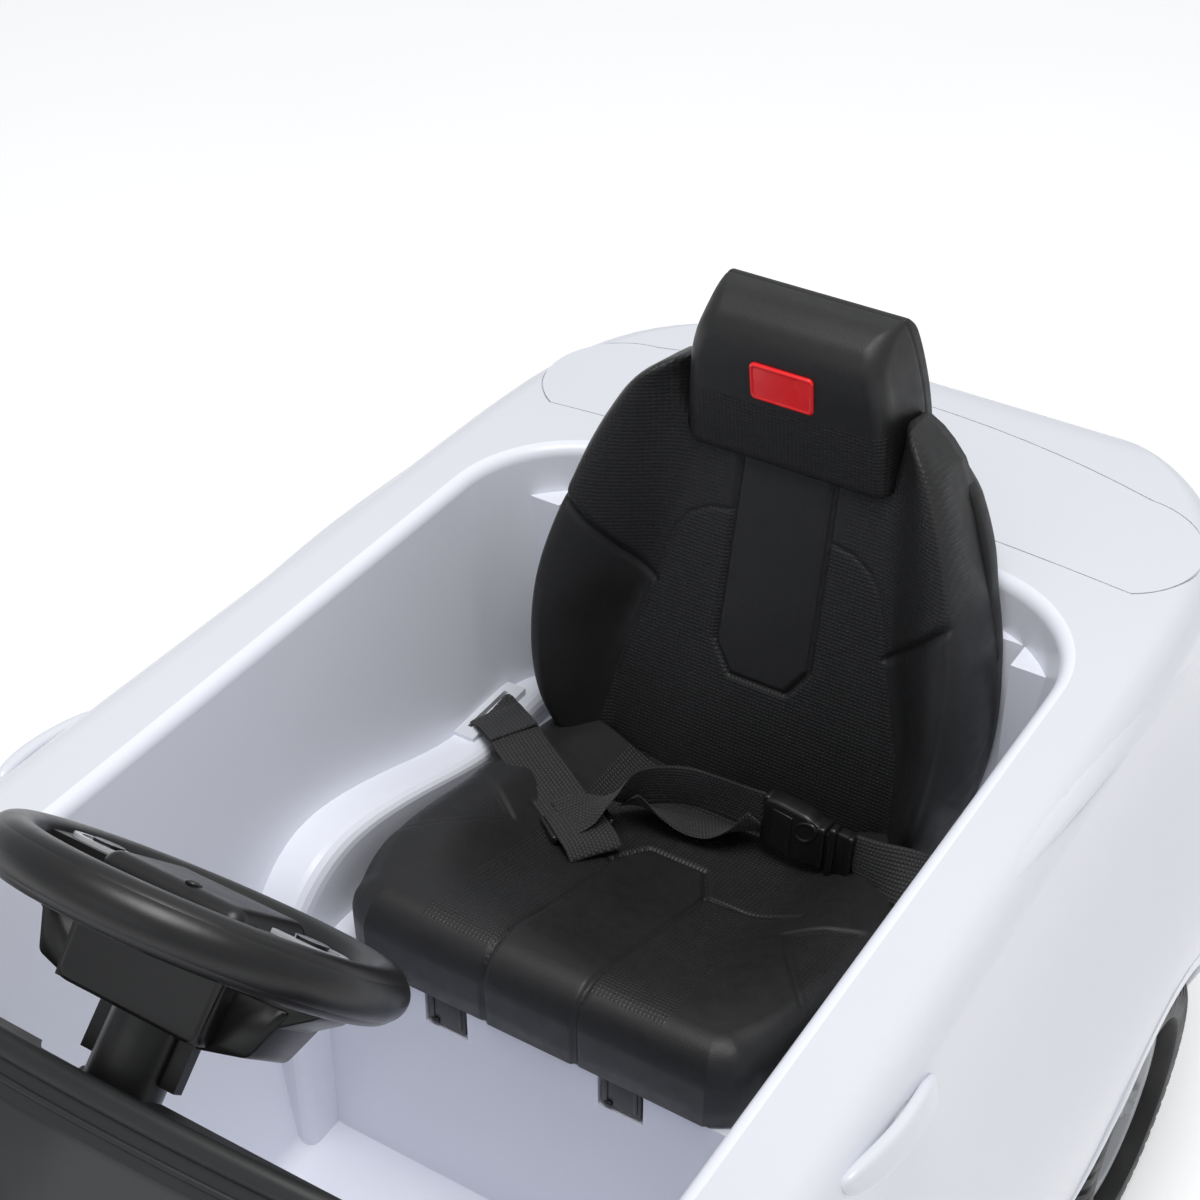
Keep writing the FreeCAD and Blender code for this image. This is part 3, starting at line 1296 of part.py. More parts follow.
def seat_wire(row):
    """One cross-section of the seat base across the car."""
    place, width, side_rise, middle_rise = row
    y = seat_front + (seat_rear - seat_front) * place
    half = seat_half_width * width
    side_z = platform_height + seat_rise * side_rise
    middle_z = platform_height + seat_rise * middle_rise
    blend_z = middle_z + (side_z - middle_z) * seat_blend_share
    top = [(half, side_z - seat_edge), (half - seat_edge, side_z), (half * seat_bolster_share, blend_z),
           (half * seat_pan_share, middle_z), (0, middle_z)]
    points = [Vec(x, y, z) for x, z in top]
    points.extend(Vec(-x, y, z) for x, z in reversed(top[:-1]))
    curve = Part.BSplineCurve()
    curve.interpolate(points)
    low = [Vec(-half, y, platform_height), Vec(half, y, platform_height)]
    return Part.Wire([curve.toShape(), Part.makeLine(points[-1], low[0]), Part.makeLine(low[0], low[1]),
                      Part.makeLine(low[1], points[0])])


seat = Part.makeLoft([seat_wire(row) for row in seat_section_shares], True, False)
tab = block(tab_inner, tab_outer, tab_front, tab_rear, tab_bottom, platform_height + skin)
seat = seat.fuse([tab, mirrored(tab)])

# Seat back: a leaning loft with side bolsters, two wings and a neck behind the headrest


def back_wire(row):
    """One cross-section of the seat back, square to its lean."""
    place, width, depth = row
    up = back_height * place
    half = back_half_width * width
    bolster = back_bolster * depth
    front = [(half, -bolster + back_edge), (half - back_edge, -bolster),
             (half * back_bolster_share, -bolster / 2),
             (half * back_panel_share, 0), (0, 0)]
    points = [on_back(x, out, up) for x, out in front]
    points.extend(on_back(-x, out, up) for x, out in reversed(front[:-1]))
    curve = Part.BSplineCurve()
    curve.interpolate(points)
    rear = [on_back(-half, back_thickness, up), on_back(half, back_thickness, up)]
    return Part.Wire([curve.toShape(), Part.makeLine(points[-1], rear[0]), Part.makeLine(rear[0], rear[1]),
                      Part.makeLine(rear[1], points[0])])


back = Part.makeLoft([back_wire(row) for row in back_section_shares], True, False)
wing_outline = [(x * back_half_width, up * wing_top) for x, up in wing_outline_shares]
wing = lean_prism(wing_outline, -wing_front, back_thickness)
neck_half = wing_outline_shares[3][0] * back_half_width
neck = lean_prism([(-neck_half, back_height - skin), (neck_half, back_height - skin), (neck_half, neck_top),
                   (-neck_half, neck_top)], neck_front, back_thickness)
back = back.fuse([wing, mirrored(wing), neck])
cover_outline = [(width * back_half_width, place * back_height) for place, width,
                 depth in back_section_shares]
cover_outline.extend((x * back_half_width, up * wing_top) for x, up in wing_outline_shares[1:3])
cover_outline.extend((-x, up) for x, up in reversed(list(cover_outline)))
back_cover = lean_prism(cover_outline, back_thickness, back_thickness + back_cover_thickness)
back_notch = lean_prism([(-neck_half, neck_top), (neck_half, neck_top), (neck_half, 2 * wing_top),
                         (-neck_half, 2 * wing_top)], 0, 2 * (back_thickness + back_cover_thickness))
back_cover = back_cover.cut(back_notch)

# Headrest: a block tilted forwards from the seat back, on a stem
rest_tilt = math.radians(headrest_tilt)
rest_up = back_up * math.cos(rest_tilt) - back_out * math.sin(rest_tilt)
rest_out = back_out * math.cos(rest_tilt) + back_up * math.sin(rest_tilt)
rest_foot = on_back(0, -headrest_front, headrest_foot)


def on_rest(x, out, up):
    """A point in the frame of the headrest, with its front face at zero."""
    return rest_foot + axis_x * x + rest_out * out + rest_up * up


side_outline = [on_rest(-headrest_foot_half_width, depth * headrest_depth, rise * headrest_height)
                for depth, rise in headrest_profile_shares]
side_form = prism(side_outline, axis_x * (2 * headrest_foot_half_width))
face_outline = [on_rest(-headrest_foot_half_width, 0, 0), on_rest(headrest_foot_half_width, 0, 0),
                on_rest(headrest_top_half_width, 0, headrest_height),
                on_rest(-headrest_top_half_width, 0, headrest_height)]
face_form = prism(face_outline, rest_out * headrest_depth)
rest_edges = []
for edge in face_form.Edges:
    middle = edge.valueAt((edge.FirstParameter + edge.LastParameter) / 2)
    if (middle - rest_foot).dot(rest_out) < headrest_depth / 4 and abs(middle.x) > headrest_top_half_width / 2:
        rest_edges.append(edge)
face_form = face_form.makeFillet(headrest_fillet, rest_edges)
headrest = face_form.common(side_form)
stem = lean_prism([(-stem_half_width, neck_top), (stem_half_width, neck_top),
                   (stem_half_width, neck_top + stem_rise), (-stem_half_width, neck_top + stem_rise)],
                  neck_front, back_thickness)
save("headrest", one(headrest.fuse(stem)))
badge = prism([on_rest(-badge_half_width, -badge_thickness, badge_low),
               on_rest(badge_half_width, -badge_thickness, badge_low),
               on_rest(badge_half_width, -badge_thickness, badge_high),
               on_rest(-badge_half_width, -badge_thickness, badge_high)], rest_out * badge_thickness)
badge_edges = [e for e in badge.Edges if abs(e.tangentAt(e.FirstParameter).dot(rest_out)) > 0.99]
save("headrest_badge", badge.makeFillet(badge_fillet, badge_edges))
save("seat_back", one(back))
save("seat_back_cover", one(back_cover))
save("seat_base", one(seat.cut(back)))

# Lap belt: bezels on the ledges, straps, slider and buckle


def strap_form(stops):
    """A flat strap through stops of place, width direction and normal."""
    wires = []
    for place, across, normal in stops:
        middle = Vec(*place)
        wide = Vec(*across)
        wide.normalize()
        thick = Vec(*normal)
        thick.normalize()
        wide = wide * (strap_width / 2)
        thick = thick * (strap_thickness / 2)
        wires.append(polygon([middle - wide - thick, middle + wide - thick, middle + wide + thick,
                              middle - wide + thick]))
    return Part.makeLoft(wires, True, True)


ledge_z = platform_height + (armrest_height - platform_height) * armrest_top_shares[-1][1]
bezel = block(bezel_x - bezel_half_width, bezel_x + bezel_half_width, bezel_front, bezel_rear,
              ledge_z, ledge_z + bezel_height)
bezel = bezel.cut(block(bezel_x - bezel_slot_half_width, bezel_x + bezel_slot_half_width,
                        bezel_front + bezel_slot_inset, bezel_rear - bezel_slot_inset,
                        ledge_z - skin, ledge_z + bezel_height + skin))
bezel = bezel.cut(tub)
save("belt_slot_bezels", pair(max(bezel.Solids, key=lambda solid: solid.Volume)))
save("belt_strap_right", Part.makeCompound([strap_form(right_strap_route), strap_form(run_strap_route)]))
save("belt_strap_left", strap_form(left_strap_route))
buckle_along = Vec(*buckle_direction)
buckle_along.normalize()
buckle_out = buckle_along.cross(axis_z)
buckle_out.normalize()
buckle_high = buckle_out.cross(buckle_along)
buckle_start = Vec(*buckle_place)


def buckle_block(along0, along1, half_height, half_thickness):
    """A block in the frame of the buckle."""
    base = buckle_start + buckle_along * along0 - buckle_high * half_height - buckle_out * half_thickness
    points = [base, base + buckle_high * (2 * half_height),
              base + buckle_high * (2 * half_height) + buckle_out * (2 * half_thickness),
              base + buckle_out * (2 * half_thickness)]
    return prism(points, buckle_along * (along1 - along0))


socket_body = buckle_block(0, buckle_length, buckle_height / 2, buckle_thickness / 2)
socket_body = socket_body.makeFillet(buckle_fillet, socket_body.Edges)
save("buckle_socket", socket_body)
tongue = buckle_block(buckle_length, buckle_length + tongue_length, buckle_height / 2, buckle_thickness / 4)
save("buckle_tongue", tongue)
slider_along = Vec(*slider_direction)
slider_along.normalize()
slider_wide = axis_z.cross(slider_along)
slider_middle = Vec(*slider_place)
slider_base = slider_middle - slider_along * slider_half_width - slider_wide * slider_half_length
slider = prism([slider_base, slider_base + slider_along * (2 * slider_half_width),
                slider_base + slider_along * (2 * slider_half_width) + slider_wide * (2 * slider_half_length),
                slider_base + slider_wide * (2 * slider_half_length)], axis_z * slider_thickness)
save("belt_slider", slider)

# Mirrors on the shoulders
mirror_spot = Vec(mirror_x, mirror_y, mirror_z)
mirror_ball = Part.makeSphere(1, origin)
mirror_shape = FreeCAD.Matrix()
mirror_shape.scale(mirror_half_width, mirror_depth, mirror_half_height)
mirror_body = mirror_ball.transformGeometry(mirror_shape)
mirror_body = mirror_body.cut(block(-far, far, 0, far, -far, far))
mirror_body.translate(mirror_spot)
stalk = Part.makeCylinder(mirror_stalk_radius, mirror_stalk_drop,
                          mirror_spot - axis_y * mirror_stalk_set_back, axis_z * -1)
stalk_in = Vec(-mirror_half_width * mirror_stalk_share, 0, 0)
stalk.translate(stalk_in)
housing = mirror_body.fuse(stalk).cut(outer_form)
housing = max(housing.Solids, key=lambda solid: solid.BoundBox.ZMax)
save("mirror_housings", pair(housing))
glass_shape = FreeCAD.Matrix()
glass_shape.scale(mirror_half_width - mirror_glass_inset, 1, mirror_half_height - mirror_glass_inset)
glass = Part.makeCylinder(1, mirror_glass_thickness, origin, axis_y).transformGeometry(glass_shape)
glass.translate(mirror_spot)
save("mirror_glasses", pair(glass))
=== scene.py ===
import math
import bpy
import bmesh
import numpy as np
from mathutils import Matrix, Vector
from mathutils.bvhtree import BVHTree


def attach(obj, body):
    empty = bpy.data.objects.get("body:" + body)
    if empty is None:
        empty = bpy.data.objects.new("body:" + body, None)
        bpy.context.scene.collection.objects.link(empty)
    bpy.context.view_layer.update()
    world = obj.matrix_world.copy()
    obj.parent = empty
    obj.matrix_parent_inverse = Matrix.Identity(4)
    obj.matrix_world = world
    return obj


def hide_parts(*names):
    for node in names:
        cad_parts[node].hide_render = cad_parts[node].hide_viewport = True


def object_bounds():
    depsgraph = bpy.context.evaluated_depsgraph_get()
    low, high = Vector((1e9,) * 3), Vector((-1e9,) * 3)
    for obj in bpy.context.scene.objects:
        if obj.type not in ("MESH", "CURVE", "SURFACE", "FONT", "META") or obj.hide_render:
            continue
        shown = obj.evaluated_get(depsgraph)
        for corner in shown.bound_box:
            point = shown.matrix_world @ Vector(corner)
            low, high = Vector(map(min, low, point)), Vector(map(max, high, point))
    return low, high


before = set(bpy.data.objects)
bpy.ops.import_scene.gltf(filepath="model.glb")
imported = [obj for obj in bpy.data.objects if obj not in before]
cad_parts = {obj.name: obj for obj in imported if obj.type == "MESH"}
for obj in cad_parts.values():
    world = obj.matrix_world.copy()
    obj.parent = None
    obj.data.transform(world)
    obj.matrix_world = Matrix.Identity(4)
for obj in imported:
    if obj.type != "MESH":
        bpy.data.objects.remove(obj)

cad_low, cad_high = [list(c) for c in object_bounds()]
MM = 0.001
FULL_TURN = 2 * math.pi
SIDES = ((1, "left"), (-1, "right"))
ACROSS = np.array((1.0, 0, 0))
UP = np.array((0, 0, 1.0))

# Wheels in millimetres, each with its side and its axle's place
FRONT_AXLE_Y = -362.0
REAR_AXLE_Y = 295.0
AXLE_Z = 98.0
WHEEL_X = 245.0
WHEELS = {
    "front_left": (1, FRONT_AXLE_Y),
    "front_right": (-1, FRONT_AXLE_Y),
    "rear_left": (1, REAR_AXLE_Y),
    "rear_right": (-1, REAR_AXLE_Y),
}


# Node material helpers
def new_material(name):
    """An empty Principled material and its shader node."""
    mat = bpy.data.materials.new(name)
    mat.use_nodes = True
    tree = mat.node_tree
    shader = tree.nodes["Principled BSDF"]
    return mat, tree, shader


def node(tree, kind, **values):
    """Add a node and set its properties, or its sockets where it has no such property."""
    n = tree.nodes.new(kind)
    for key, value in values.items():
        if hasattr(n, key):
            setattr(n, key, value)
        else:
            n.inputs[key].default_value = value
    return n


def link(tree, a, b):
    tree.links.new(a, b)


def coords(tree, kind="Object"):
    return node(tree, "ShaderNodeTexCoord").outputs[kind]


def calc(tree, operation, first, second=None):
    """The result of a Math node on sockets or plain numbers."""
    n = node(tree, "ShaderNodeMath", operation=operation)
    for socket, value in zip(n.inputs, (first, second)):
        if isinstance(value, bpy.types.NodeSocket):
            link(tree, value, socket)
        elif value is not None:
            socket.default_value = value
    return n.outputs[0]


def ramp(tree, source, low, high, stops=(0.3, 0.7)):
    """A colour ramp from one grey or colour to another between two stops."""
    r = node(tree, "ShaderNodeValToRGB")
    link(tree, source, r.inputs["Fac"])
    for element, place, value in zip(r.color_ramp.elements, stops, (low, high)):
        element.position = place
        colour = value if hasattr(value, "__len__") else (value, value, value)
        element.color = (*colour, 1)
    return r.outputs["Color"]


def noise(tree, where, scale, detail=3.0):
    n = node(tree, "ShaderNodeTexNoise", Scale=scale, Detail=detail)
    link(tree, where, n.inputs["Vector"])
    return n.outputs["Fac"]


def bump(tree, shader, height, strength, distance, before=None):
    b = node(tree, "ShaderNodeBump", Strength=strength, Distance=distance)
    link(tree, height, b.inputs["Height"])
    if before is not None:
        link(tree, before, b.inputs["Normal"])
    link(tree, b.outputs["Normal"], shader.inputs["Normal"])
    return b.outputs["Normal"]


def plastic(name, colour, rough, spread=0.05, grain=1600.0, strength=0.05, shade=0.05, coat=0.0):
    """Moulded plastic: a slight mottle in colour and gloss, and a fine grain."""
    mat, tree, shader = new_material(name)
    where = coords(tree)
    low = tuple(c * (1 - shade) for c in colour)
    high = tuple(min(1.0, c * (1 + shade)) for c in colour)
    link(tree, ramp(tree, noise(tree, where, 9.0, 4.0), low, high), shader.inputs["Base Color"])
    fine = noise(tree, where, 60.0, 5.0)
    link(tree, ramp(tree, fine, rough - spread, rough + spread), shader.inputs["Roughness"])
    if strength:
        bump(tree, shader, noise(tree, where, grain, 2.0), strength, 0.0006)
    if coat:
        shader.inputs["Coat Weight"].default_value = coat
        shader.inputs["Coat Roughness"].default_value = 0.12
    return mat


def metal(name, colour, rough, spread=0.08):
    """Plated steel with a brushed streak."""
    mat, tree, shader = new_material(name)
    shader.inputs["Metallic"].default_value = 1.0
    stretch = node(tree, "ShaderNodeMapping", Scale=(40.0, 900.0, 900.0))
    link(tree, coords(tree), stretch.inputs["Vector"])
    streak = noise(tree, stretch.outputs["Vector"], 1.0, 4.0)
    low = tuple(c * 0.85 for c in colour)
    link(tree, ramp(tree, streak, low, colour), shader.inputs["Base Color"])
    link(tree, ramp(tree, streak, rough - spread, rough + spread), shader.inputs["Roughness"])
    bump(tree, shader, streak, 0.08, 0.0004)
    return mat


SEAT_DARK, SEAT_PALE = (0.0135, 0.0135, 0.0138), (0.020, 0.020, 0.0205)


def seat_plastic(name, mesh_share):
    """Black moulded seat skin: leather grain, with a raised dot mesh where the attribute asks for it."""
    mat, tree, shader = new_material(name)
    where = coords(tree)
    slow = noise(tree, where, 14.0, 5.0)
    link(tree, ramp(tree, slow, SEAT_DARK, SEAT_PALE, (0.3, 0.75)), shader.inputs["Base Color"])
    link(tree, ramp(tree, noise(tree, where, 120.0, 5.0), 0.40, 0.52), shader.inputs["Roughness"])
    shader.inputs["Specular IOR Level"].default_value = 0.42
    leather = node(tree, "ShaderNodeTexVoronoi", Scale=720.0, Randomness=1.0)
    leather.feature = "DISTANCE_TO_EDGE"
    link(tree, where, leather.inputs["Vector"])
    grain = ramp(tree, leather.outputs["Distance"], 0.0, 1.0, (0.0, 0.25))
    first = bump(tree, shader, grain, 0.10, 0.0005)
    if mesh_share:
        dots = node(tree, "ShaderNodeTexVoronoi", Scale=400.0, Randomness=0.0)
        link(tree, coords(tree, "UV"), dots.inputs["Vector"])
        spots = ramp(tree, dots.outputs["Distance"], 1.0, 0.0, (0.18, 0.42))
        mask = node(tree, "ShaderNodeAttribute", attribute_name="mesh")
        both = calc(tree, "MULTIPLY", spots, mask.outputs["Fac"])
        bump(tree, shader, both, mesh_share, 0.0006, first)
    return mat


PICK_WIDE, PICK_LONG = 0.0024, 0.0023
WEAVE_DARK, WEAVE_PALE = (0.006, 0.006, 0.006), (0.042, 0.042, 0.043)


def webbing_material(name):
    """Woven belt webbing: staggered picks in columns, in the UV's metres."""
    mat, tree, shader = new_material(name)
    split = node(tree, "ShaderNodeSeparateXYZ")
    link(tree, coords(tree, "UV"), split.inputs["Vector"])
    across = calc(tree, "MULTIPLY", split.outputs["X"], 1.0 / PICK_WIDE)
    along = calc(tree, "MULTIPLY", split.outputs["Y"], 1.0 / PICK_LONG)
    stagger = calc(tree, "MULTIPLY", calc(tree, "FLOOR", across), 0.5)
    pick = calc(tree, "PINGPONG", calc(tree, "ADD", stagger, along), 0.5)
    weave = calc(tree, "ADD", pick, calc(tree, "PINGPONG", across, 0.5))
    fuzz = noise(tree, coords(tree), 1500.0)
    link(tree, ramp(tree, weave, WEAVE_DARK, WEAVE_PALE, (0.25, 0.85)), shader.inputs["Base Color"])
    link(tree, ramp(tree, fuzz, 0.62, 0.82), shader.inputs["Roughness"])
    shader.inputs["Sheen Weight"].default_value = 0.08
    first = bump(tree, shader, weave, 0.9, 0.0009)
    bump(tree, shader, fuzz, 0.15, 0.0004, first)
    return mat


white = plastic("white_gloss_plastic", (0.745, 0.76, 0.815), 0.30,
                spread=0.01, strength=0.0, shade=0.004, coat=0.2)
# The tub's white is the body's white plastic painted brighter and bluer, as painted light for the light
# bouncing round inside the tub
white_painted_bright = plastic("white_satin_plastic_painted_bright", (0.88, 0.90, 0.98), 0.36,
                      spread=0.01, strength=0.0, shade=0.004, coat=0.1)
black = plastic("black_satin_plastic", (0.0075, 0.0075, 0.008), 0.36, shade=0.15)
black_gloss = plastic("black_gloss_plastic", (0.012, 0.012, 0.013), 0.24, shade=0.15)
grey = plastic("dark_grey_plastic", (0.0145, 0.0155, 0.0162), 0.46, grain=2200.0, strength=0.10, shade=0.10)
smoked = plastic("smoked_pane_plastic", (0.022, 0.024, 0.026), 0.14,
                 spread=0.04, strength=0.02, shade=0.10, coat=0.3)
tyre_black = plastic("tyre_plastic", (0.014, 0.014, 0.0145), 0.55,
                     spread=0.08, grain=1300.0, strength=0.16, shade=0.18)
silver = plastic("silver_paint", (0.42, 0.43, 0.45), 0.30, grain=2600.0, coat=0.4)
nylon = plastic("nylon", (0.62, 0.60, 0.54), 0.42, spread=0.06, grain=1400.0, strength=0.06)
red = plastic("red_plate_plastic", (0.96, 0.016, 0.020), 0.25,
              grain=1400.0, strength=0.03, shade=0.04, coat=0.3)
red_lens = plastic("red_lens_plastic", (0.40, 0.010, 0.010), 0.12,
                   spread=0.03, grain=700.0, strength=0.10, shade=0.12, coat=0.6)
clear_lens = plastic("clear_lens_plastic", (0.55, 0.57, 0.60), 0.10,
                     spread=0.03, grain=500.0, strength=0.14, shade=0.12, coat=0.7)
steel = metal("zinc_steel", (0.56, 0.56, 0.57), 0.34)
brass = metal("pinion_brass", (0.62, 0.46, 0.20), 0.32)
mirror_face = metal("mirror_face", (0.80, 0.80, 0.81), 0.10)
seat_mesh = seat_plastic("seat_mesh_plastic", 0.5)
seat_plain = seat_plastic("seat_plain_plastic", 0.0)
webbing = webbing_material("belt_webbing")


# Finishes of the CAD nodes
node_finish = {
    white: ["body_shell", "rear_deck_panel", "door_handles", "mirror_housings", "belt_slot_bezels"],
    # the tub takes the white painted brighter, as painted light for the light inside it
    white_painted_bright: ["cockpit_tub"],
    black: ["front_grille", "wheel_arch_liners", "chassis_pan", "gearbox_case", "gearbox_cover",
            "control_box", "pedal", "pedal_bracket", "charge_socket", "gear_switch", "battery",
            "steering_wheel_front", "steering_wheel_rear", "buckle_socket", "buckle_tongue", "belt_slider",
            "seat_back_cover"],
    grey: ["dashboard", "windscreen_frame"],
    smoked: ["windscreen_pane"],
    seat_plain: ["seat_base", "seat_back", "headrest"],
    webbing: ["belt_strap_left", "belt_strap_right"],
    red: ["headrest_badge", "power_button"],
    clear_lens: ["headlight_lenses"],
    red_lens: ["tail_lights"],
    tyre_black: ["tyre_" + name for name in WHEELS],
    silver: ["wheel_cover_" + name for name in WHEELS],
    black_gloss: ["horn_button_left", "horn_button_right"],
    steel: ["rear_axle", "rear_axle_nuts", "kingpins", "knuckle_left", "knuckle_right", "tie_rod",
            "steering_column", "steering_bolt", "motor"],
    nylon: ["output_gear", "idler_gear", "column_bush"],
    brass: ["motor_pinion"],
    mirror_face: ["mirror_glasses"],
}


def sharp_edges(obj, degrees):
    """Show edges that turn by more than an angle as sharp."""
    edges = obj.modifiers.new("edges", "EDGE_SPLIT")
    edges.split_angle = math.radians(degrees)


for finish, names in node_finish.items():
    for name in names:
        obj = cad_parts[name]
        obj.data.materials.clear()
        obj.data.materials.append(finish)
        for face in obj.data.polygons:
            face.use_smooth = True
        sharp_edges(obj, 28)


# Mesh helpers; every length in these is in millimetres
def turn_outwards(data, weld):
    """Make the normals of a closed mesh point outwards, after joining points nearer than the weld."""
    work = bmesh.new()
    work.from_mesh(data)
    if weld:
        bmesh.ops.remove_doubles(work, verts=work.verts, dist=weld * MM)
    bmesh.ops.recalc_face_normals(work, faces=work.faces)
    work.to_mesh(data)
    work.free()


def add_mesh(name, verts, faces, finish, body, smooth=True, uv=None, closed=True, weld=0.0):
    """A mesh object from points in millimetres, riding on a body."""
    data = bpy.data.meshes.new(name)
    data.from_pydata([tuple(p) for p in np.asarray(verts, float) * MM], [], faces)
    data.update()
    obj = bpy.data.objects.new(name, data)
    bpy.context.scene.collection.objects.link(obj)
    data.materials.append(finish)
    data.polygons.foreach_set("use_smooth", [smooth] * len(data.polygons))
    if uv is not None:
        layer = data.uv_layers.new(name="UVMap")
        loops = np.zeros(len(data.loops), int)
        data.loops.foreach_get("vertex_index", loops)
        layer.data.foreach_set("uv", np.asarray(uv, float)[loops].ravel())
    if closed:
        turn_outwards(data, weld)
    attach(obj, body)
    return obj


def add_parts(name, parts, finish, body):
    """Several (points, faces) lists as one welded mesh object."""
    verts, faces = [], []
    for more_verts, more_faces in parts:
        start = len(verts)
        verts += [tuple(p) for p in more_verts]
        faces += [tuple(k + start for k in face) for face in more_faces]
    return add_mesh(name, verts, faces, finish, body, weld=0.01)


def paint(obj, name, values):
    """Store a number at each vertex for a material to read, with zero past the end of the values."""
    numbers = np.zeros(len(obj.data.vertices))
    numbers[: np.size(values)] = np.ravel(values)
    layer = obj.data.attributes.new(name, "FLOAT", "POINT")
    layer.data.foreach_set("value", numbers)


def grid_faces(rows, cols, start=0):
    """Quads of a grid of points stored row by row."""
    faces = []
    for r in range(rows - 1):
        for c in range(cols - 1):
            a = start + r * cols + c
            faces.append((a, a + 1, a + cols + 1, a + cols))
    return faces


def ring_faces(rings, count, closed=False):
    """Quads from each closed loop of points to the next, and from the last to the first if closed."""
    faces = []
    for r in range(rings if closed else rings - 1):
        here = r * count
        there = (r + 1) % rings * count
        for i in range(count):
            j = (i + 1) % count
            faces.append((here + i, here + j, there + j, there + i))
    return faces


def stack(rings):
    """Points and faces of closed loops joined one after another, with both ends filled."""
    count = len(rings[0])
    verts = [tuple(p) for ring in rings for p in ring]
    faces = ring_faces(len(rings), count)
    faces.append(tuple(range(count)))
    faces.append(tuple(range(len(verts) - 1, len(verts) - count - 1, -1)))
    return verts, faces


def rim_loop(rows, cols):
    """The outer loop of a grid, once round, as places in its list of points."""
    loop = list(range(cols))
    loop += [r * cols + cols - 1 for r in range(1, rows)]
    loop += [(rows - 1) * cols + c for c in range(cols - 2, -1, -1)]
    loop += [r * cols for r in range(rows - 2, 0, -1)]
    return loop


def grid_mesh(points):
    """Points, faces and outer loop of a grid of places."""
    rows, cols = points.shape[:2]
    return list(points.reshape(-1, 3)), grid_faces(rows, cols), rim_loop(rows, cols)


def skirt(verts, faces, loop, rings):
    """Extrude a loop through further rings of points and close the last one."""
    last = list(loop)
    for ring in rings:
        start = len(verts)
        verts.extend(ring)
        new = list(range(start, start + len(ring)))
        count = len(new)
        for k in range(count):
            j = (k + 1) % count
            faces.append((last[k], new[k], new[j], last[j]))
        last = new
    faces.append(tuple(last))


def rounded_box(centre, half, radius, axes=None, steps=4):
    """Points and faces of a box with rounded edges, turned to the three axes given."""
    half = np.asarray(half, float)
    radius = min(radius, half.min() * 0.98)
    lines = []
    for h in half:
        ends = h - radius + radius * np.sin(np.linspace(0, math.pi / 2, steps))
        lines.append(np.concatenate([-ends[::-1], ends]))
    verts, faces = [], []
    for axis in range(3):
        a, b = [k for k in range(3) if k != axis]
        for sign in (-1, 1):
            start = len(verts)
            for i in lines[a]:
                for j in lines[b]:
                    p = np.zeros(3)
                    p[a], p[b], p[axis] = i, j, sign * half[axis]
                    core = np.clip(p, -(half - radius), half - radius)
                    out = p - core
                    verts.append(core + radius * out / max(np.linalg.norm(out), 1e-9))
            faces += grid_faces(len(lines[a]), len(lines[b]), start)
    verts = np.array(verts)
    if axes is not None:
        verts = verts @ np.asarray(axes, float)
    return verts + np.asarray(centre, float), faces


def boxes(table, foot=(0, 0, 0), axes=np.eye(3)):
    """Rounded boxes by place, half size and edge radius in a frame."""
    parts = []
    for place, half, edge in table:
        parts.append(rounded_box(foot + np.array(place) @ np.array(axes), half, edge, axes))
    return parts


# Helpers for outlines and forms
def unit(p):
    p = np.asarray(p, float)
    return p / np.linalg.norm(p, axis=-1, keepdims=True)


def round_turn(count):
    """Even angles once round."""
    return np.linspace(0, FULL_TURN, count, endpoint=False)


def run_along(points):
    """The length of a path up to each of its points."""
    return np.concatenate([[0], np.cumsum(np.linalg.norm(np.diff(points, axis=0), axis=1))])


def spread_ends(count, share=0.5):
    """Places from -1 to 1 that lie closer together near both ends."""
    even = np.linspace(-1, 1, count)
    return (1 - share) * even + share * np.sin(even * math.pi / 2)


def corner_outline(half_x, half_y, radius, steps=6):
    """A rectangle with round corners as (x, y) pairs."""
    points = []
    for cx, cy, start in ((1, 1, 0), (-1, 1, 90), (-1, -1, 180), (1, -1, 270)):
        for k in range(steps + 1):
            turn = math.radians(start + 90 * k / steps)
            points.append((cx * (half_x - radius) + radius * math.cos(turn),
                           cy * (half_y - radius) + radius * math.sin(turn)))
    return points


def smooth_loop(points, radius, step=1.2):
    """A closed polygon with its corners rounded, as evenly placed points."""
    points = np.asarray(points, float)
    path = []
    for before, here, after in zip(np.roll(points, 1, axis=0), points, np.roll(points, -1, axis=0)):
        reach = min(radius, 0.45 * np.linalg.norm(before - here), 0.45 * np.linalg.norm(after - here))
        start = here + unit(before - here) * reach
        end = here + unit(after - here) * reach
        for t in np.linspace(0, 1, 7):
            path.append((1 - t) ** 2 * start + 2 * t * (1 - t) * here + t ** 2 * end)
    path = np.array(path + path[:1])
    length = run_along(path)
    even = np.linspace(0, length[-1], int(length[-1] / step))[:-1]
    return np.stack([np.interp(even, length, path[:, k]) for k in range(2)], axis=-1)


def line_distance(px, py, points):
    """Distance of arrays of places from a polyline."""
    best = np.full(np.shape(px), 1e9)
    for (ax, ay), (bx, by) in zip(points[:-1], points[1:]):
        dx, dy = bx - ax, by - ay
        t = np.clip(((px - ax) * dx + (py - ay) * dy) / (dx * dx + dy * dy), 0, 1)
        best = np.minimum(best, np.hypot(px - ax - t * dx, py - ay - t * dy))
    return best


def groove(px, py, points, depth, width, both=False):
    """How deep a round groove along a polyline is, and along its mirror image if it is on both sides."""
    cut = np.exp(-(line_distance(px, py, points) / width) ** 2)
    if both:
        cut = cut + np.exp(-(line_distance(-px, py, points) / width) ** 2)
    return depth * cut


def ease(t):
    t = np.clip(t, 0, 1)
    return t * t * (3 - 2 * t)


def step_up(value, start, over):
    """Nothing up to a start, one past the width after it, and eased between."""
    return ease((value - start) / over)


def step_down(value, end, over):
    """One before the width that leads up to an end, nothing past it, and eased between."""
    return ease((end - value) / over)


def edge_roll(e, radius):
    """How far a rounded edge falls at a distance from it."""
    e = np.clip(e, 0, radius)
    return radius - np.sqrt(np.maximum(radius ** 2 - (radius - e) ** 2, 0))


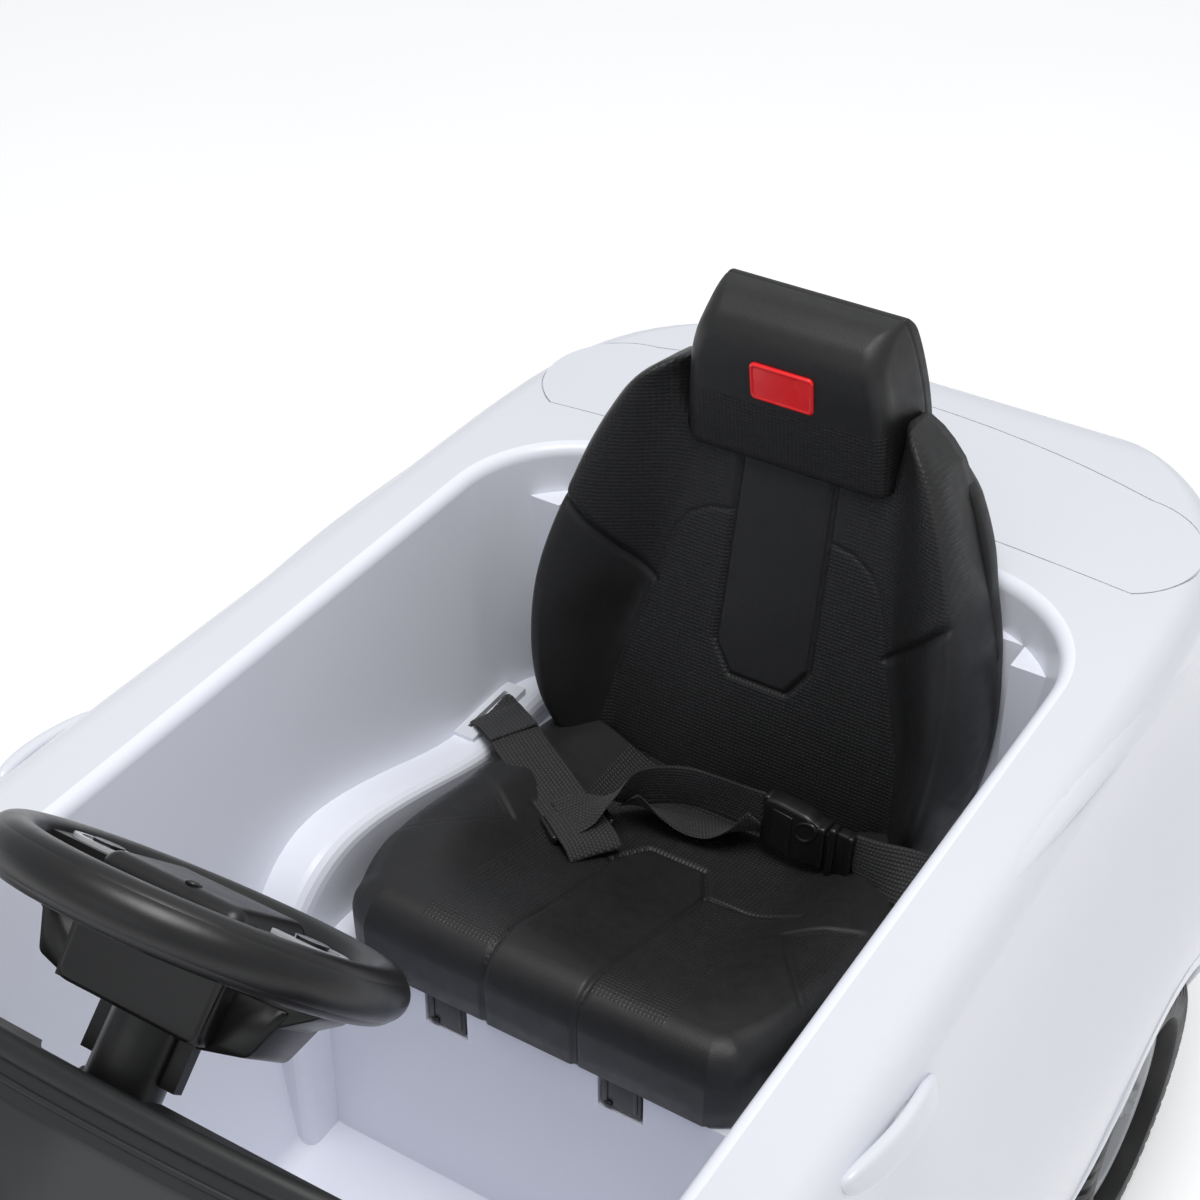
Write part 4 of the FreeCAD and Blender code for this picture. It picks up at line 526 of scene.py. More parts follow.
def curve(t, places, values):
    """A smooth line through a table of places and values."""
    places, values = np.asarray(places, float), np.asarray(values, float)
    slope = np.gradient(values, places)
    t = np.clip(np.asarray(t, float), places[0], places[-1])
    k = np.clip(np.searchsorted(places, t) - 1, 0, len(places) - 2)
    step = places[k + 1] - places[k]
    s = (t - places[k]) / step
    start = (2 * s ** 3 - 3 * s ** 2 + 1) * values[k] + (s ** 3 - 2 * s ** 2 + s) * slope[k] * step
    return start + (3 * s ** 2 - 2 * s ** 3) * values[k + 1] + (s ** 3 - s ** 2) * slope[k + 1] * step


def leaning(foot, out, up):
    """A function that places points by x, depth and height in a leaning frame."""
    def place(x, depth, h):
        x, depth, h = np.broadcast_arrays(*(np.asarray(k, float) for k in (x, depth, h)))
        places = foot + depth[..., None] * out + h[..., None] * up
        places[..., 0] = x
        return places
    return place


# Seat back: its own leaning frame, with x across, d towards the front and u up the back
BACK_FOOT = np.array((0.0, 287.0, 233.0))
LEAN = math.radians(10.84)
BACK_UP = np.array((0.0, math.sin(LEAN), math.cos(LEAN)))
BACK_OUT = np.array((0.0, math.cos(LEAN), -math.sin(LEAN)))
on_back = leaning(BACK_FOOT, -BACK_OUT, BACK_UP)

BACK_LOW, BACK_REAR = 3.0, -15.7
REAR_SHARES = (0.35, 0.75, 1.0)
BACK_U = (0, 40, 100, 130, 160, 190, 215, 240, 265, 289)
BACK_PANEL = (92, 95, 90, 79, 71, 64, 61, 60, 60, 60)
BACK_RIDGE = (112, 124, 133, 133.5, 130, 123, 114, 104, 91, 74)
BACK_RISE = (15, 37, 46, 45, 41, 36, 33, 31, 28, 24)
BACK_HALF = (127, 140, 147.5, 145.5, 139.5, 130, 120.5, 110, 96.5, 79)
BACK_TOP_V = (0, 0.56, 0.60, 0.63, 0.66, 0.70, 0.74, 0.78, 0.82, 0.87, 0.93, 0.97, 1.0)
BACK_TOP_U = (247, 247, 247.5, 250, 257, 265, 272, 277.5, 281, 280.5, 276.5, 270.5, 262)
STRIP_LOW, STRIP_LOW_HALF, STRIP_HALF, STRIP_SLANT, STRIP_RISE = 84.5, 19.4, 31.5, 1.55, 0.9
SPLIT_RISE, WING_ROLL, TOP_ROLL, LOW_ROLL = 3.0, 12.0, 3.0, 8.0
WING_INNER, WING_LOW = 40.0, 120.0
STRIP = [(-30.5, 250), (-32, 104), (-STRIP_LOW_HALF, STRIP_LOW), (STRIP_LOW_HALF, STRIP_LOW), (32, 104),
         (30.5, 250)]
PANEL_LINE = [(34, 191), (48, 188.5), (60, 181), (68, 169), (73, 152), (78, 130), (87, 98), (96, 66),
              (101, 30), (101, 0)]
SPLIT_LINE = [(150, 205), (136, 193), (118, 174), (97, 149), (78, 130)]
COLLAR = [(-74, 262), (-70, 243), (-65, 233), (-56, 229), (-40, 228), (40, 228), (56, 229), (65, 233),
          (70, 243), (74, 262)]

rows, cols = 240, 261
v = np.linspace(-1, 1, cols)[None, :]
top = np.interp(np.abs(v), BACK_TOP_V, BACK_TOP_U)
u = BACK_LOW + np.linspace(0, 1, rows)[:, None] * (top - BACK_LOW)
half = curve(u, BACK_U, BACK_HALF)
x = v * half
ax = np.abs(x)
panel = curve(u, BACK_U, BACK_PANEL)
ridge = curve(u, BACK_U, BACK_RIDGE)
inner = step_up(ax, panel, ridge - panel)
outer = np.clip((ax - ridge) / (half - ridge), 0, 1)
wing_fall = 0.55 - 0.35 * step_up(u, 190, 30)
d = curve(u, BACK_U, BACK_RISE) * inner * (1 - wing_fall * outer ** 2)
split_x, split_u = zip(*SPLIT_LINE[::-1])
above = step_up(u, np.interp(ax, split_x, split_u), 10)
d += SPLIT_RISE * above * step_up(ax, 76, 20)
in_strip = (ax < STRIP_HALF) & (u > STRIP_LOW + np.maximum(ax - STRIP_LOW_HALF, 0) * STRIP_SLANT)
d += STRIP_RISE * in_strip
d -= groove(x, u, STRIP, depth=2.9, width=1.6)
d -= groove(x, u, PANEL_LINE, depth=0.9, width=1.4, both=True)
d -= groove(x, u, SPLIT_LINE, depth=2.0, width=2.0, both=True)
d += groove(x, u, COLLAR, depth=0.8, width=3.0)
d -= edge_roll((1 - np.abs(v)) * half, WING_ROLL - 4.5 * step_up(u, 185, 25))
d -= edge_roll(np.maximum(top - u, 0), TOP_ROLL + 6.0 * step_up(ax, 64, 8))
d -= edge_roll(np.maximum(u - BACK_LOW, 0), LOW_ROLL) * step_up(ax, 40, 60)
verts, faces, loop = grid_mesh(on_back(x, d, u))
flat = np.stack([x.ravel(), u.ravel()], axis=-1)
rim_x, rim_u = flat[loop].T
rim_d = d.ravel()[loop]
rings = [on_back(rim_x, rim_d + (BACK_REAR - rim_d) * share, rim_u) for share in REAR_SHARES]
skirt(verts, faces, loop, rings)
uv = np.concatenate([flat] + [flat[loop]] * len(rings)) * MM
seat_back = add_mesh("seat_back_front", verts, faces, seat_mesh, "car", uv=uv)
panel_x, panel_u = zip(*PANEL_LINE[::-1])
in_panel = (ax < np.interp(u, panel_u, panel_x)) & (u < PANEL_LINE[0][1]) & ~in_strip
in_wing = (above > 0.5) & (ax > WING_INNER) & (u > WING_LOW)
paint(seat_back, "mesh", np.maximum(1.0 * in_panel, 0.7 * in_wing))
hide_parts("seat_back")

# Seat base: a height field over its plan outline, rolled down at the edges
BASE_FOOT = 233.0
BASE_Y = (48, 56, 75, 120, 180, 230, 286)
BASE_HALF = (111, 124, 132.5, 139.6, 141, 139.6, 133)
BASE_MIDDLE = (284.4, 284.6, 283.2, 268, 250, 240.4, 238.3)
BASE_SIDE = (284.6, 285.4, 284.8, 281, 269, 260, 256.3)
BASE_STRIP = [(-30, 30), (-30, 150), (-32, 188), (-19, 211), (19, 211), (32, 188), (30, 150), (30, 30)]
BASE_STRIP_HALF, STRIP_END, STRIP_END_HALF, STRIP_END_SLANT = 31.0, 210.0, 19.0, 1.75
BASE_CREASE = [(32, 187), (62, 189), (92, 193)]
BASE_EYE = [(140, 106), (124, 124), (106, 148), (92, 171), (112, 184), (144, 200)]
FRONT_ROLL, SIDE_ROLL = 22.0, 14.0
BASE_AIM = np.array((0.0, 165.0, 0.0))
EYE_DEPTH, EYE_MARGIN = 1.6, 2
MIDDLE_HALF, MIDDLE_FRONT = 78.0, 60.0
# Each ring of the side wall by its share of the way down and its inward draft
BASE_DRAFT = ((0.5, 0.3), (0.93, 0.8), (1.0, 2.6))

rows, cols = 230, 321
row_y = BASE_Y[0] + (BASE_Y[-1] - BASE_Y[0]) * (np.linspace(0, 1, rows)[:, None] ** 1.5)
half = curve(row_y, BASE_Y, BASE_HALF)
x = spread_ends(cols, 0.6)[None, :] * half
y = row_y + 0 * x
ax = np.abs(x)
middle_z = curve(row_y, BASE_Y, BASE_MIDDLE)
height = middle_z + (curve(row_y, BASE_Y, BASE_SIDE) - middle_z) * step_up(ax / half, 0.40, 0.42)
side_y = np.linspace(BASE_Y[0], BASE_Y[-1], 60)
side_line = list(zip(curve(side_y, BASE_Y, BASE_HALF), side_y))
edge_gap = line_distance(x, y, [(-a, b) for a, b in side_line[::-1]] + side_line)
edge_gap[0, :] = 0
edge_gap[:, [0, -1]] = 0
roll = SIDE_ROLL + (FRONT_ROLL - SIDE_ROLL) * step_down(y, 112, 50)
fall = np.clip((roll - edge_gap) / roll, 0, 1)
strip_y = STRIP_END - np.maximum(ax - STRIP_END_HALF, 0) * STRIP_END_SLANT
in_strip = (ax < BASE_STRIP_HALF) & (y < strip_y)
cut = groove(x, y, BASE_STRIP, depth=2.4, width=1.5) - STRIP_RISE * in_strip
for line in (BASE_CREASE, BASE_EYE):
    cut = cut + groove(x, y, line, depth=1.3, width=1.6, both=True)
eye_x, eye_y = zip(*BASE_EYE)
in_eye = step_up(ax, np.interp(y, eye_y, eye_x), 6)
in_eye = in_eye * (y > eye_y[0] - EYE_MARGIN) * (y < eye_y[-1] + EYE_MARGIN)
z = height - EYE_DEPTH * in_eye - edge_roll(edge_gap, roll) - cut * np.sqrt(1 - fall ** 2)
y = y + cut * fall * step_down(y, 64, 14)
verts, faces, loop = grid_mesh(np.stack([x, y, z], axis=-1))
rim = np.array([verts[k] for k in loop])
inward = unit(BASE_AIM - rim * (1, 1, 0))
rings = []
for share, draft in BASE_DRAFT:
    ring = rim + inward * draft
    ring[:, 2] = rim[:, 2] + (BASE_FOOT - rim[:, 2]) * share
    rings.append(ring)
skirt(verts, faces, loop, rings)
verts = np.array(verts)
uv = np.stack([verts[:, 0], verts[:, 1] - 0.6 * verts[:, 2]], axis=-1) * MM
seat_base = add_mesh("seat_base_skin", verts, faces, seat_mesh, "car", uv=uv)
in_middle = (ax < MIDDLE_HALF) & (y > MIDDLE_FRONT) & ~in_strip
paint(seat_base, "mesh", np.maximum(0.75 * in_middle, 0.6 * in_eye))
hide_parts("seat_base")

# Hooked tabs under the seat's front edge, as boxes by place, half size and edge radius
TAB_X = 58.0
TAB_BOXES = (
    ((0, 54.2, 223.5), (13.2, 2.7, 12.5), 1.4),
    ((0, 53.4, 234.0), (16.0, 2.2, 2.6), 1.2),
    ((-9.5, 52.0, 224.0), (1.3, 1.2, 9.0), 0.7),
    ((9.5, 52.0, 224.0), (1.3, 1.2, 9.0), 0.7),
    ((-8.0, 51.6, 213.6), (2.6, 1.6, 2.0), 1.2),
)
tab_parts = boxes(TAB_BOXES, -TAB_X * ACROSS) + boxes(TAB_BOXES, TAB_X * ACROSS)
tabs = add_parts("seat_base_tabs", tab_parts, black, "car")

# Headrest: a front cushion form and a rear shell, in their own leaning frame
REST_TILT = math.radians(20)
REST_UP = BACK_UP * math.cos(REST_TILT) - BACK_OUT * math.sin(REST_TILT)
REST_OUT = BACK_OUT * math.cos(REST_TILT) + BACK_UP * math.sin(REST_TILT)
REST_FORWARD, REST_RAISED = 9.0, 237.0
REST_FOOT = BACK_FOOT - BACK_OUT * REST_FORWARD + BACK_UP * REST_RAISED
on_rest = leaning(REST_FOOT, REST_OUT, REST_UP)
REST_PROFILE = [(50, -2), (-1.5, -10), (0, 62), (2.5, 76), (10, 85.5), (25, 91), (40, 89.6), (46, 88),
                (50, 82)]
FRONT_HEIGHTS = (-10, 20, 37, 60, 75, 91)
FRONT_HALVES = (67, 66, 64.5, 61.5, 58, 53.5)
REAR_HEIGHTS = (-10, 10, 30, 56, 80, 92)
REAR_HALVES = (68.5, 70, 69, 65.5, 59.5, 54.5)
FRONT_EDGE, REAR_EDGE = 11.0, 2.5
PARTING_DEPTH, PARTING_SIZE = 41.0, 0.9
MESH_DEPTH, MESH_LOW, MESH_HIGH = 3.0, -6.0, 36.0
REST_COLS, SIDE_ROWS = 111, 30
SIDE_MIDDLE = np.array((30.0, 38.0))


def parting(depth):
    """The groove along the headrest's parting line."""
    return PARTING_SIZE * np.exp(-((depth - PARTING_DEPTH) / PARTING_SIZE) ** 2)


def rest_half(depth, h):
    """The headrest's half width by depth and height."""
    front = curve(h, FRONT_HEIGHTS, FRONT_HALVES)
    rear = curve(h, REAR_HEIGHTS, REAR_HALVES)
    return front + (rear - front) * step_up(depth, 12, 30) - parting(depth)


profile = smooth_loop(REST_PROFILE, 8.0, 0.9)
profile[:, 1] -= parting(profile[:, 0]) * (profile[:, 1] > 40)
tangent = unit(np.roll(profile, -2, axis=0) - np.roll(profile, 2, axis=0))
normal = np.stack([tangent[:, 1], -tangent[:, 0]], axis=-1)
normal *= np.sign(((profile - profile.mean(axis=0)) * normal).sum())
profile_half = rest_half(*profile.T)
profile_edge = FRONT_EDGE + (REAR_EDGE - FRONT_EDGE) * step_up(profile[:, 0], 6, 34)
count = len(profile)
verts, flat = [], []
for v in spread_ends(REST_COLS, 0.75):
    place = profile - normal * edge_roll((1 - abs(v)) * profile_half, profile_edge)[:, None]
    across = v * rest_half(*place.T)
    verts += list(on_rest(across, *place.T))
    flat += list(np.stack([across, place[:, 1]], axis=-1))
faces = ring_faces(REST_COLS, count)
side_loop = profile - normal * profile_edge[:, None]
for side, column in ((-1, 0), (1, REST_COLS - 1)):
    rings = []
    for share in np.linspace(1, 0.03, SIDE_ROWS)[1:]:
        place = SIDE_MIDDLE + (side_loop - SIDE_MIDDLE) * share
        rings.append(on_rest(side * rest_half(*place.T), *place.T))
        flat += list(place)
    skirt(verts, faces, range(column * count, (column + 1) * count), rings)
headrest = add_mesh("headrest_shell", verts, faces, seat_mesh, "car", uv=np.array(flat) * MM)
in_mesh = (profile[:, 0] < MESH_DEPTH) & (profile[:, 1] < MESH_HIGH) & (profile[:, 1] > MESH_LOW)
paint(headrest, "mesh", np.tile(in_mesh, REST_COLS))
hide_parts("headrest")
STEM_BOX = ((0, 26, -2), (30, 16, 14), 5.0)
stem_parts = boxes([STEM_BOX], REST_FOOT, (ACROSS, REST_OUT, REST_UP))
rest_stem = add_parts("headrest_stem", stem_parts, seat_plain, "car")

# Red plate on the headrest with a raised edge, by the inset and depth of its rings
PLATE_HALF_WIDE, PLATE_HALF_HIGH, PLATE_CORNER, PLATE_MIDDLE = 20.0, 12.5, 3.2, 52.5
PLATE_LEVELS = ((0, 0.6), (0, -1.1), (0.7, -1.6), (1.7, -1.6), (2.2, -1.2), (2.6, -1.2))
rings = []
for inset, depth in PLATE_LEVELS:
    shape = corner_outline(PLATE_HALF_WIDE - inset, PLATE_HALF_HIGH - inset, PLATE_CORNER - inset * 0.6)
    rings.append([on_rest(x, depth, PLATE_MIDDLE + h) for x, h in shape])
plate = add_mesh("headrest_plate", *stack(rings), red, "car")
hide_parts("headrest_badge")

# Rear cover of the seat back, a little wider than the front towards its top
COVER_HALF = (126, 139, 146, 144.5, 140, 131.5, 124.5, 113, 97.5, 80)
COVER_TOP_V = (0, 0.44, 0.50, 0.58, 0.70, 0.80, 0.88, 0.94, 1.0)
COVER_TOP_U = (264, 264, 268, 275, 277, 275, 269, 260, 243)
COVER_BACK, COVER_FRONT = -22.0, -7.0
PANEL_HALF, PANEL_LOW, PANEL_HIGH, PANEL_DEPTH = 104.0, 30.0, 214.0, 2.2
RIB_PLACES, RIB_RISE, RIB_WIDTH = (-60, -20, 20, 60), 1.8, 4.0
COVER_ROLL, COVER_NOTCH = 5.0, 9.5
rows, cols = 90, 121
v = spread_ends(cols, 0.5)[None, :]
top = curve(np.abs(v), COVER_TOP_V, COVER_TOP_U)
u = BACK_LOW + np.linspace(0, 1, rows)[:, None] * (top - BACK_LOW)
half = curve(u, BACK_U, COVER_HALF)
x = v * half
gap = np.minimum((1 - np.abs(v)) * half, np.maximum(top - u, 0))
panel_edge = np.minimum(PANEL_HALF - np.abs(x), np.minimum(u - PANEL_LOW, PANEL_HIGH - u))
d = COVER_BACK + edge_roll(gap, COVER_ROLL) + PANEL_DEPTH * step_up(panel_edge, 0, 6)
for rib in RIB_PLACES:
    d = d - RIB_RISE * np.exp(-((x - rib) / RIB_WIDTH) ** 4) * step_up(panel_edge, 8, 8)
verts, faces, loop = grid_mesh(on_back(x, d, u))
rim_x, rim_u = x.ravel()[loop], u.ravel()[loop]
rim_d = COVER_FRONT - COVER_NOTCH * step_down(np.abs(rim_x), 70, 10)
skirt(verts, faces, loop, [on_back(rim_x, rim_d - 1.5, rim_u), on_back(rim_x * 0.992, rim_d, rim_u),
                           on_back(rim_x * 0.95, rim_d - 1.0, rim_u - 2.0)])
back_cover = add_mesh("seat_back_rear", verts, faces, seat_plain, "car")
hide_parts("seat_back_cover")

# Belt webbing: woven strips laid along their routes
STRAP_HALF = 17.0
STRAP_THICK = 1.5
WAVE_RATE = 0.085
CORD_RISE, CORD_PITCH = 0.16, 2.3


def strip_path(stops, flip, step=1.5):
    """Even places, width directions and normals along a route of (place, width direction) stops."""
    places, widths = np.array(stops, float).transpose(1, 0, 2)
    run = run_along(places)
    even = np.linspace(0, run[-1], max(8, int(run[-1] / step)))
    path, wide = [np.stack([curve(even, run, column) for column in table.T], axis=-1)
                  for table in (places, unit(widths))]
    along = unit(np.gradient(path, axis=0))
    wide = unit(wide)
    wide = unit(wide - along * (wide * along).sum(axis=1, keepdims=True))
    return path, wide, np.cross(along, wide) * flip


def strip(name, stops, wave, half=STRAP_HALF, cols=25, phase=0.0, flip=1):
    """A length of webbing with rounded selvedges, laid along a route."""
    path, wide, facing = strip_path(stops, flip)
    rows = len(path)
    length = run_along(path)
    across = spread_ends(cols, 0.5)
    ripple = wave * np.sin(length * WAVE_RATE + phase)[:, None] * (across[None, :] ** 2)
    rib = CORD_RISE * np.cos(across[None, :] * half / CORD_PITCH * math.pi)
    thick = STRAP_THICK / 2 * np.sqrt(np.clip(1 - np.abs(across) ** 14, 0.05, 1))[None, :]
    places = path[:, None, :] + wide[:, None, :] * (across * half)[None, :, None]
    top = places + facing[:, None, :] * (ripple + thick + rib)[..., None]
    low = places + facing[:, None, :] * (ripple - thick - rib)[..., None]
    verts = np.concatenate([top, low[:, ::-1]], axis=1).reshape(-1, 3)
    count = 2 * cols
    faces = ring_faces(rows, count)
    for start in (0, (rows - 1) * count):
        end = start + count - 1
        faces += [(start + c, start + c + 1, end - 1 - c, end - c) for c in range(cols - 1)]
    flat_x = np.concatenate([across, across[::-1]]) * half
    uv = np.stack([np.tile(flat_x, rows), np.repeat(length, count)], axis=-1) * MM
    piece = add_mesh(name, verts, faces, webbing, "car", uv=uv)
    return piece


RIGHT_ROUTE = (
    ((-167, 256, 243), (0, 1, 0)),
    ((-166.8, 256, 251.5), (0, 1, 0)),
    ((-164.8, 255.0, 256.2), (0, 1, 0)),
    ((-159, 251.4, 258.6), (0.05, 1, 0)),
    ((-150, 246, 260.4), (0.2, 1, 0)),
    ((-138, 239, 263.6), (0.3, 0.95, 0)),
    ((-122, 229, 263.4), (0.4, 0.9, 0)),
    ((-105, 219.5, 260.6), (0.5, 0.85, 0)),
    ((-88, 210.5, 258.0), (0.55, 0.8, 0)),
    ((-75, 203.2, 257.2), (0.55, 0.8, 0)),
    ((-63, 196, 258.6), (0.55, 0.8, 0)),
    ((-52, 188.6, 258.8), (0.55, 0.8, 0)),
    ((-42, 182.0, 256.9), (0.55, 0.8, 0)),
    ((-38.6, 179.6, 254.0), (0.55, 0.8, 0)),
    ((-42, 182.0, 251.5), (0.55, 0.8, 0)),
    ((-48, 186.0, 251.2), (0.55, 0.8, 0)),
)
FOLD_ROUTE = (
    ((-158.5, 251.2, 260.6), (0.05, 1, 0)),
    ((-154, 248.5, 261.8), (0.1, 1, 0)),
    ((-147, 244.4, 263.0), (0.2, 1, 0)),
    ((-134, 236.5, 265.6), (0.3, 0.95, 0)),
)
RUN_ROUTE = (
    ((-70, 190.5, 257.2), (0.87, -0.48, 0)),
    ((-62, 201, 260.4), (0.86, -0.46, 0.12)),
    ((-54, 213, 265.0), (0.70, -0.34, 0.55)),
    ((-43, 229, 267.5), (0.25, -0.10, 0.97)),
    ((-20, 245, 267.5), (0.02, -0.12, 1)),
    ((8, 251.0, 267.6), (0, -0.1, 1)),
    ((36.9, 250.8, 267.8), (0, 0, 1)),
)
LOWER_ROUTE = (
    ((36.5, 248.2, 260.5), (0.05, -0.35, 0.93)),
    ((24, 246.0, 252.4), (0.1, -0.75, 0.65)),
    ((8, 244.0, 247.0), (0.05, -0.95, 0.30)),
    ((-10, 241.5, 246.0), (0.0, -0.96, 0.26)),
    ((-30, 234.5, 251.0), (0.0, -0.8, 0.6)),
    ((-44, 226.5, 259.0), (0.2, -0.45, 0.87)),
)
LEFT_ROUTE = (
    ((97, 244.9, 266.5), (0, 0, 1)),
    ((120, 239.5, 272.0), (0, 0.28, 0.95)),
    ((140, 240, 274.0), (0, 0.80, 0.6)),
    ((155, 249, 269.8), (0, 1, 0.1)),
    ((164.5, 255, 265), (0, 1, 0)),
    ((168, 256, 258), (0, 1, 0)),
    ((168, 256, 243), (0, 1, 0)),
)
right_strap = strip("belt_right", RIGHT_ROUTE, wave=0.9)
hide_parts("belt_strap_right")
strip("belt_right_fold", FOLD_ROUTE, wave=0.5, half=16.4)
strip("belt_run", RUN_ROUTE, wave=1.1, phase=1.0, flip=-1)
strip("belt_run_lower", LOWER_ROUTE, wave=0.6, half=15.6, phase=2.0)
left_strap = strip("belt_left", LEFT_ROUTE, wave=0.9, phase=0.5,
                   flip=-1)
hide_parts("belt_strap_left")

# Side-release buckle, in a frame along its length, its height and its thickness
BUCKLE_FOOT = np.array((38.0, 251.0, 268.0))
BUCKLE_ALONG = unit((1.0, -0.10, -0.05))
BUCKLE_UP = unit(UP - BUCKLE_ALONG * BUCKLE_ALONG[2])
BUCKLE_AXES = (BUCKLE_ALONG, BUCKLE_UP, np.cross(BUCKLE_ALONG, BUCKLE_UP))
SOCKET_OUTLINE = [(0, -17.5), (8, -19), (30, -19), (37, -15.5), (43, -17), (43, 17), (37, 15.5), (30, 19),
                  (8, 19), (0, 17.5)]
SOCKET_BOXES = (
    ((1.2, 0, 0.5), (2.4, 18.6, 4.6), 2.0),
    ((14, 0, 5.9), (7.0, 13.5, 0.8), 0.7),
)
TONGUE_OUTLINE = [(38, -12.5), (46, -13.5), (49, -18), (61, -19), (61, 19), (49, 18), (46, 13.5), (38, 12.5)]
TONGUE_BOXES = (
    ((47.5, 0, 1.6), (2.6, 20.0, 4.4), 2.2),
    ((59.0, 0, 1.2), (2.2, 19.4, 3.6), 1.9),
)
PAD_ALONG, PAD_UP, PAD_HALF_LONG, PAD_HALF_HIGH, PAD_SLANT = 30.5, 8.6, 7.6, 8.8, 3.2
PAD_LEVELS = ((1.0, 5.0), (0.98, 6.9), (0.90, 7.6), (0.80, 7.6), (0.74, 6.9), (0.68, 6.6), (0.40, 7.2),
              (0.10, 7.4))
EDGE_SHARES = ((0.0, 1.0), (0.3, 0.3), (1.0, 0.0))


def on_buckle(along, up, out):
    return BUCKLE_FOOT + np.array((along, up, out)) @ np.array(BUCKLE_AXES)


def buckle_plate(corners, radius, low, high, edge):
    """A plate of the buckle between two heights, with rounded corners and edges."""
    outline = smooth_loop(corners, radius, 1.6)
    inward = unit(outline.mean(axis=0) - outline)
    levels = [(low + edge * rise, inset) for rise, inset in EDGE_SHARES]
    levels += [(high - edge * rise, inset) for rise, inset in EDGE_SHARES[::-1]]
    rings = []
    for level, inset in levels:
        rings.append([on_buckle(a, b, level) for a, b in outline + inward * edge * inset])
    return stack(rings)


rings = []
for size, rise in PAD_LEVELS:
    rings.append([on_buckle(PAD_ALONG + size * (PAD_HALF_LONG * math.cos(a) + PAD_SLANT * math.sin(a)),
                            PAD_UP + size * PAD_HALF_HIGH * math.sin(a), rise) for a in round_turn(40)])
socket_parts = [buckle_plate(SOCKET_OUTLINE, radius=4.0, low=-6.5, high=6.0, edge=2.2)]
socket_parts += boxes(SOCKET_BOXES, BUCKLE_FOOT, BUCKLE_AXES) + [stack(rings)]
socket = add_parts("buckle_socket_body", socket_parts, black, "car")
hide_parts("buckle_socket")
tongue_parts = [buckle_plate(TONGUE_OUTLINE, radius=3.0, low=-4.0, high=3.6, edge=1.4)]
tongue_parts += boxes(TONGUE_BOXES, BUCKLE_FOOT, BUCKLE_AXES)
tongue = add_parts("buckle_tongue_body", tongue_parts, black, "car")
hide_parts("buckle_tongue")

# Three-bar slider
SLIDER_FOOT = np.array((-62.0, 196.0, 254.0))
SLIDER_AXES = (unit((0.80, -0.55, 0.0)), unit((0.55, 0.80, 0.0)), UP)
SLIDER_BOXES = (
    ((-9.2, 0, 1.2), (2.0, 20.0, 2.3), 1.6),
    ((9.2, 0, 1.8), (2.0, 20.0, 2.3), 1.6),
    ((0, -18.6, 1.6), (10.8, 1.9, 3.4), 1.6),
    ((0, 18.6, 1.6), (10.8, 1.9, 3.4), 1.6),
    ((0, 0, 0.2), (2.2, 18.0, 1.7), 1.3),
)
slider = add_parts("belt_slider_frame", boxes(SLIDER_BOXES, SLIDER_FOOT, SLIDER_AXES), black, "car")
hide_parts("belt_slider")

# Steering wheel rim, in the frame of the steering axis
WHEEL_CENTRE = np.array((0.0, -182.0, 526.0))
COLUMN_TURN = math.radians(47.5)
COLUMN_UP = np.array((0.0, math.sin(COLUMN_TURN), math.cos(COLUMN_TURN)))
COLUMN_SIDE = np.array((0.0, math.cos(COLUMN_TURN), -math.sin(COLUMN_TURN)))
RIM_RADIUS, RIM_HALF_WIDE, RIM_HALF_DEEP = 79.9, 10.3, 11.8
RIM_TURNS, RIM_STEPS = 144, 48
SEAM = 0.07


def on_wheel(x, w, s):
    """A point by its places across, along the wheel's plane and up the steering axis."""
    return WHEEL_CENTRE + ACROSS * x + COLUMN_SIDE * w + COLUMN_UP * s


def squared(share, power):
    """A sine or cosine made fuller, with its sign kept."""
    return math.copysign(abs(share) ** power, share)


verts = []
for a in round_turn(RIM_TURNS):
    for b in round_turn(RIM_STEPS):
        seam = 1 - SEAM * math.exp(-((math.sin(b) / SEAM) ** 2)) * (math.cos(b) > 0)
        r = RIM_RADIUS + RIM_HALF_WIDE * seam * squared(math.cos(b), 0.9)
        s = RIM_HALF_DEEP * seam * squared(math.sin(b), 0.85)
        verts.append(on_wheel(r * math.cos(a), r * math.sin(a), s))
rim_piece = add_mesh("steering_rim", verts, ring_faces(RIM_TURNS, RIM_STEPS, closed=True), black, "steering")

# Silver trim round the horn buttons, open towards the middle
TRIM_END, TRIM_MIDDLE, TRIM_OUTER, TRIM_INNER = 40.0, 58.0, 11.2, 7.9
TRIM_LEVELS = ((0.0, 7.0), (0.0, 9.2), (0.5, 9.9))
half_turn = np.linspace(math.pi / 2, -math.pi / 2, 17)
outer, inner = [[(TRIM_MIDDLE + r * math.cos(a), r * math.sin(a)) for a in half_turn]
                for r in (TRIM_OUTER, TRIM_INNER)]
trim_loop = [(TRIM_END, TRIM_OUTER)] + outer + [(TRIM_END, -TRIM_OUTER), (TRIM_END, -TRIM_INNER)]
trim_loop += inner[::-1] + [(TRIM_END, TRIM_INNER)]
for side, name in SIDES:
    rings = []
    for inset, rise in TRIM_LEVELS:
        rings.append([on_wheel(side * (x - inset * 0.3), w * (1 - inset * 0.02), rise) for x, w in trim_loop])
    trim = add_mesh("steering_trim_" + name, *stack(rings), silver, "steering", smooth=False)

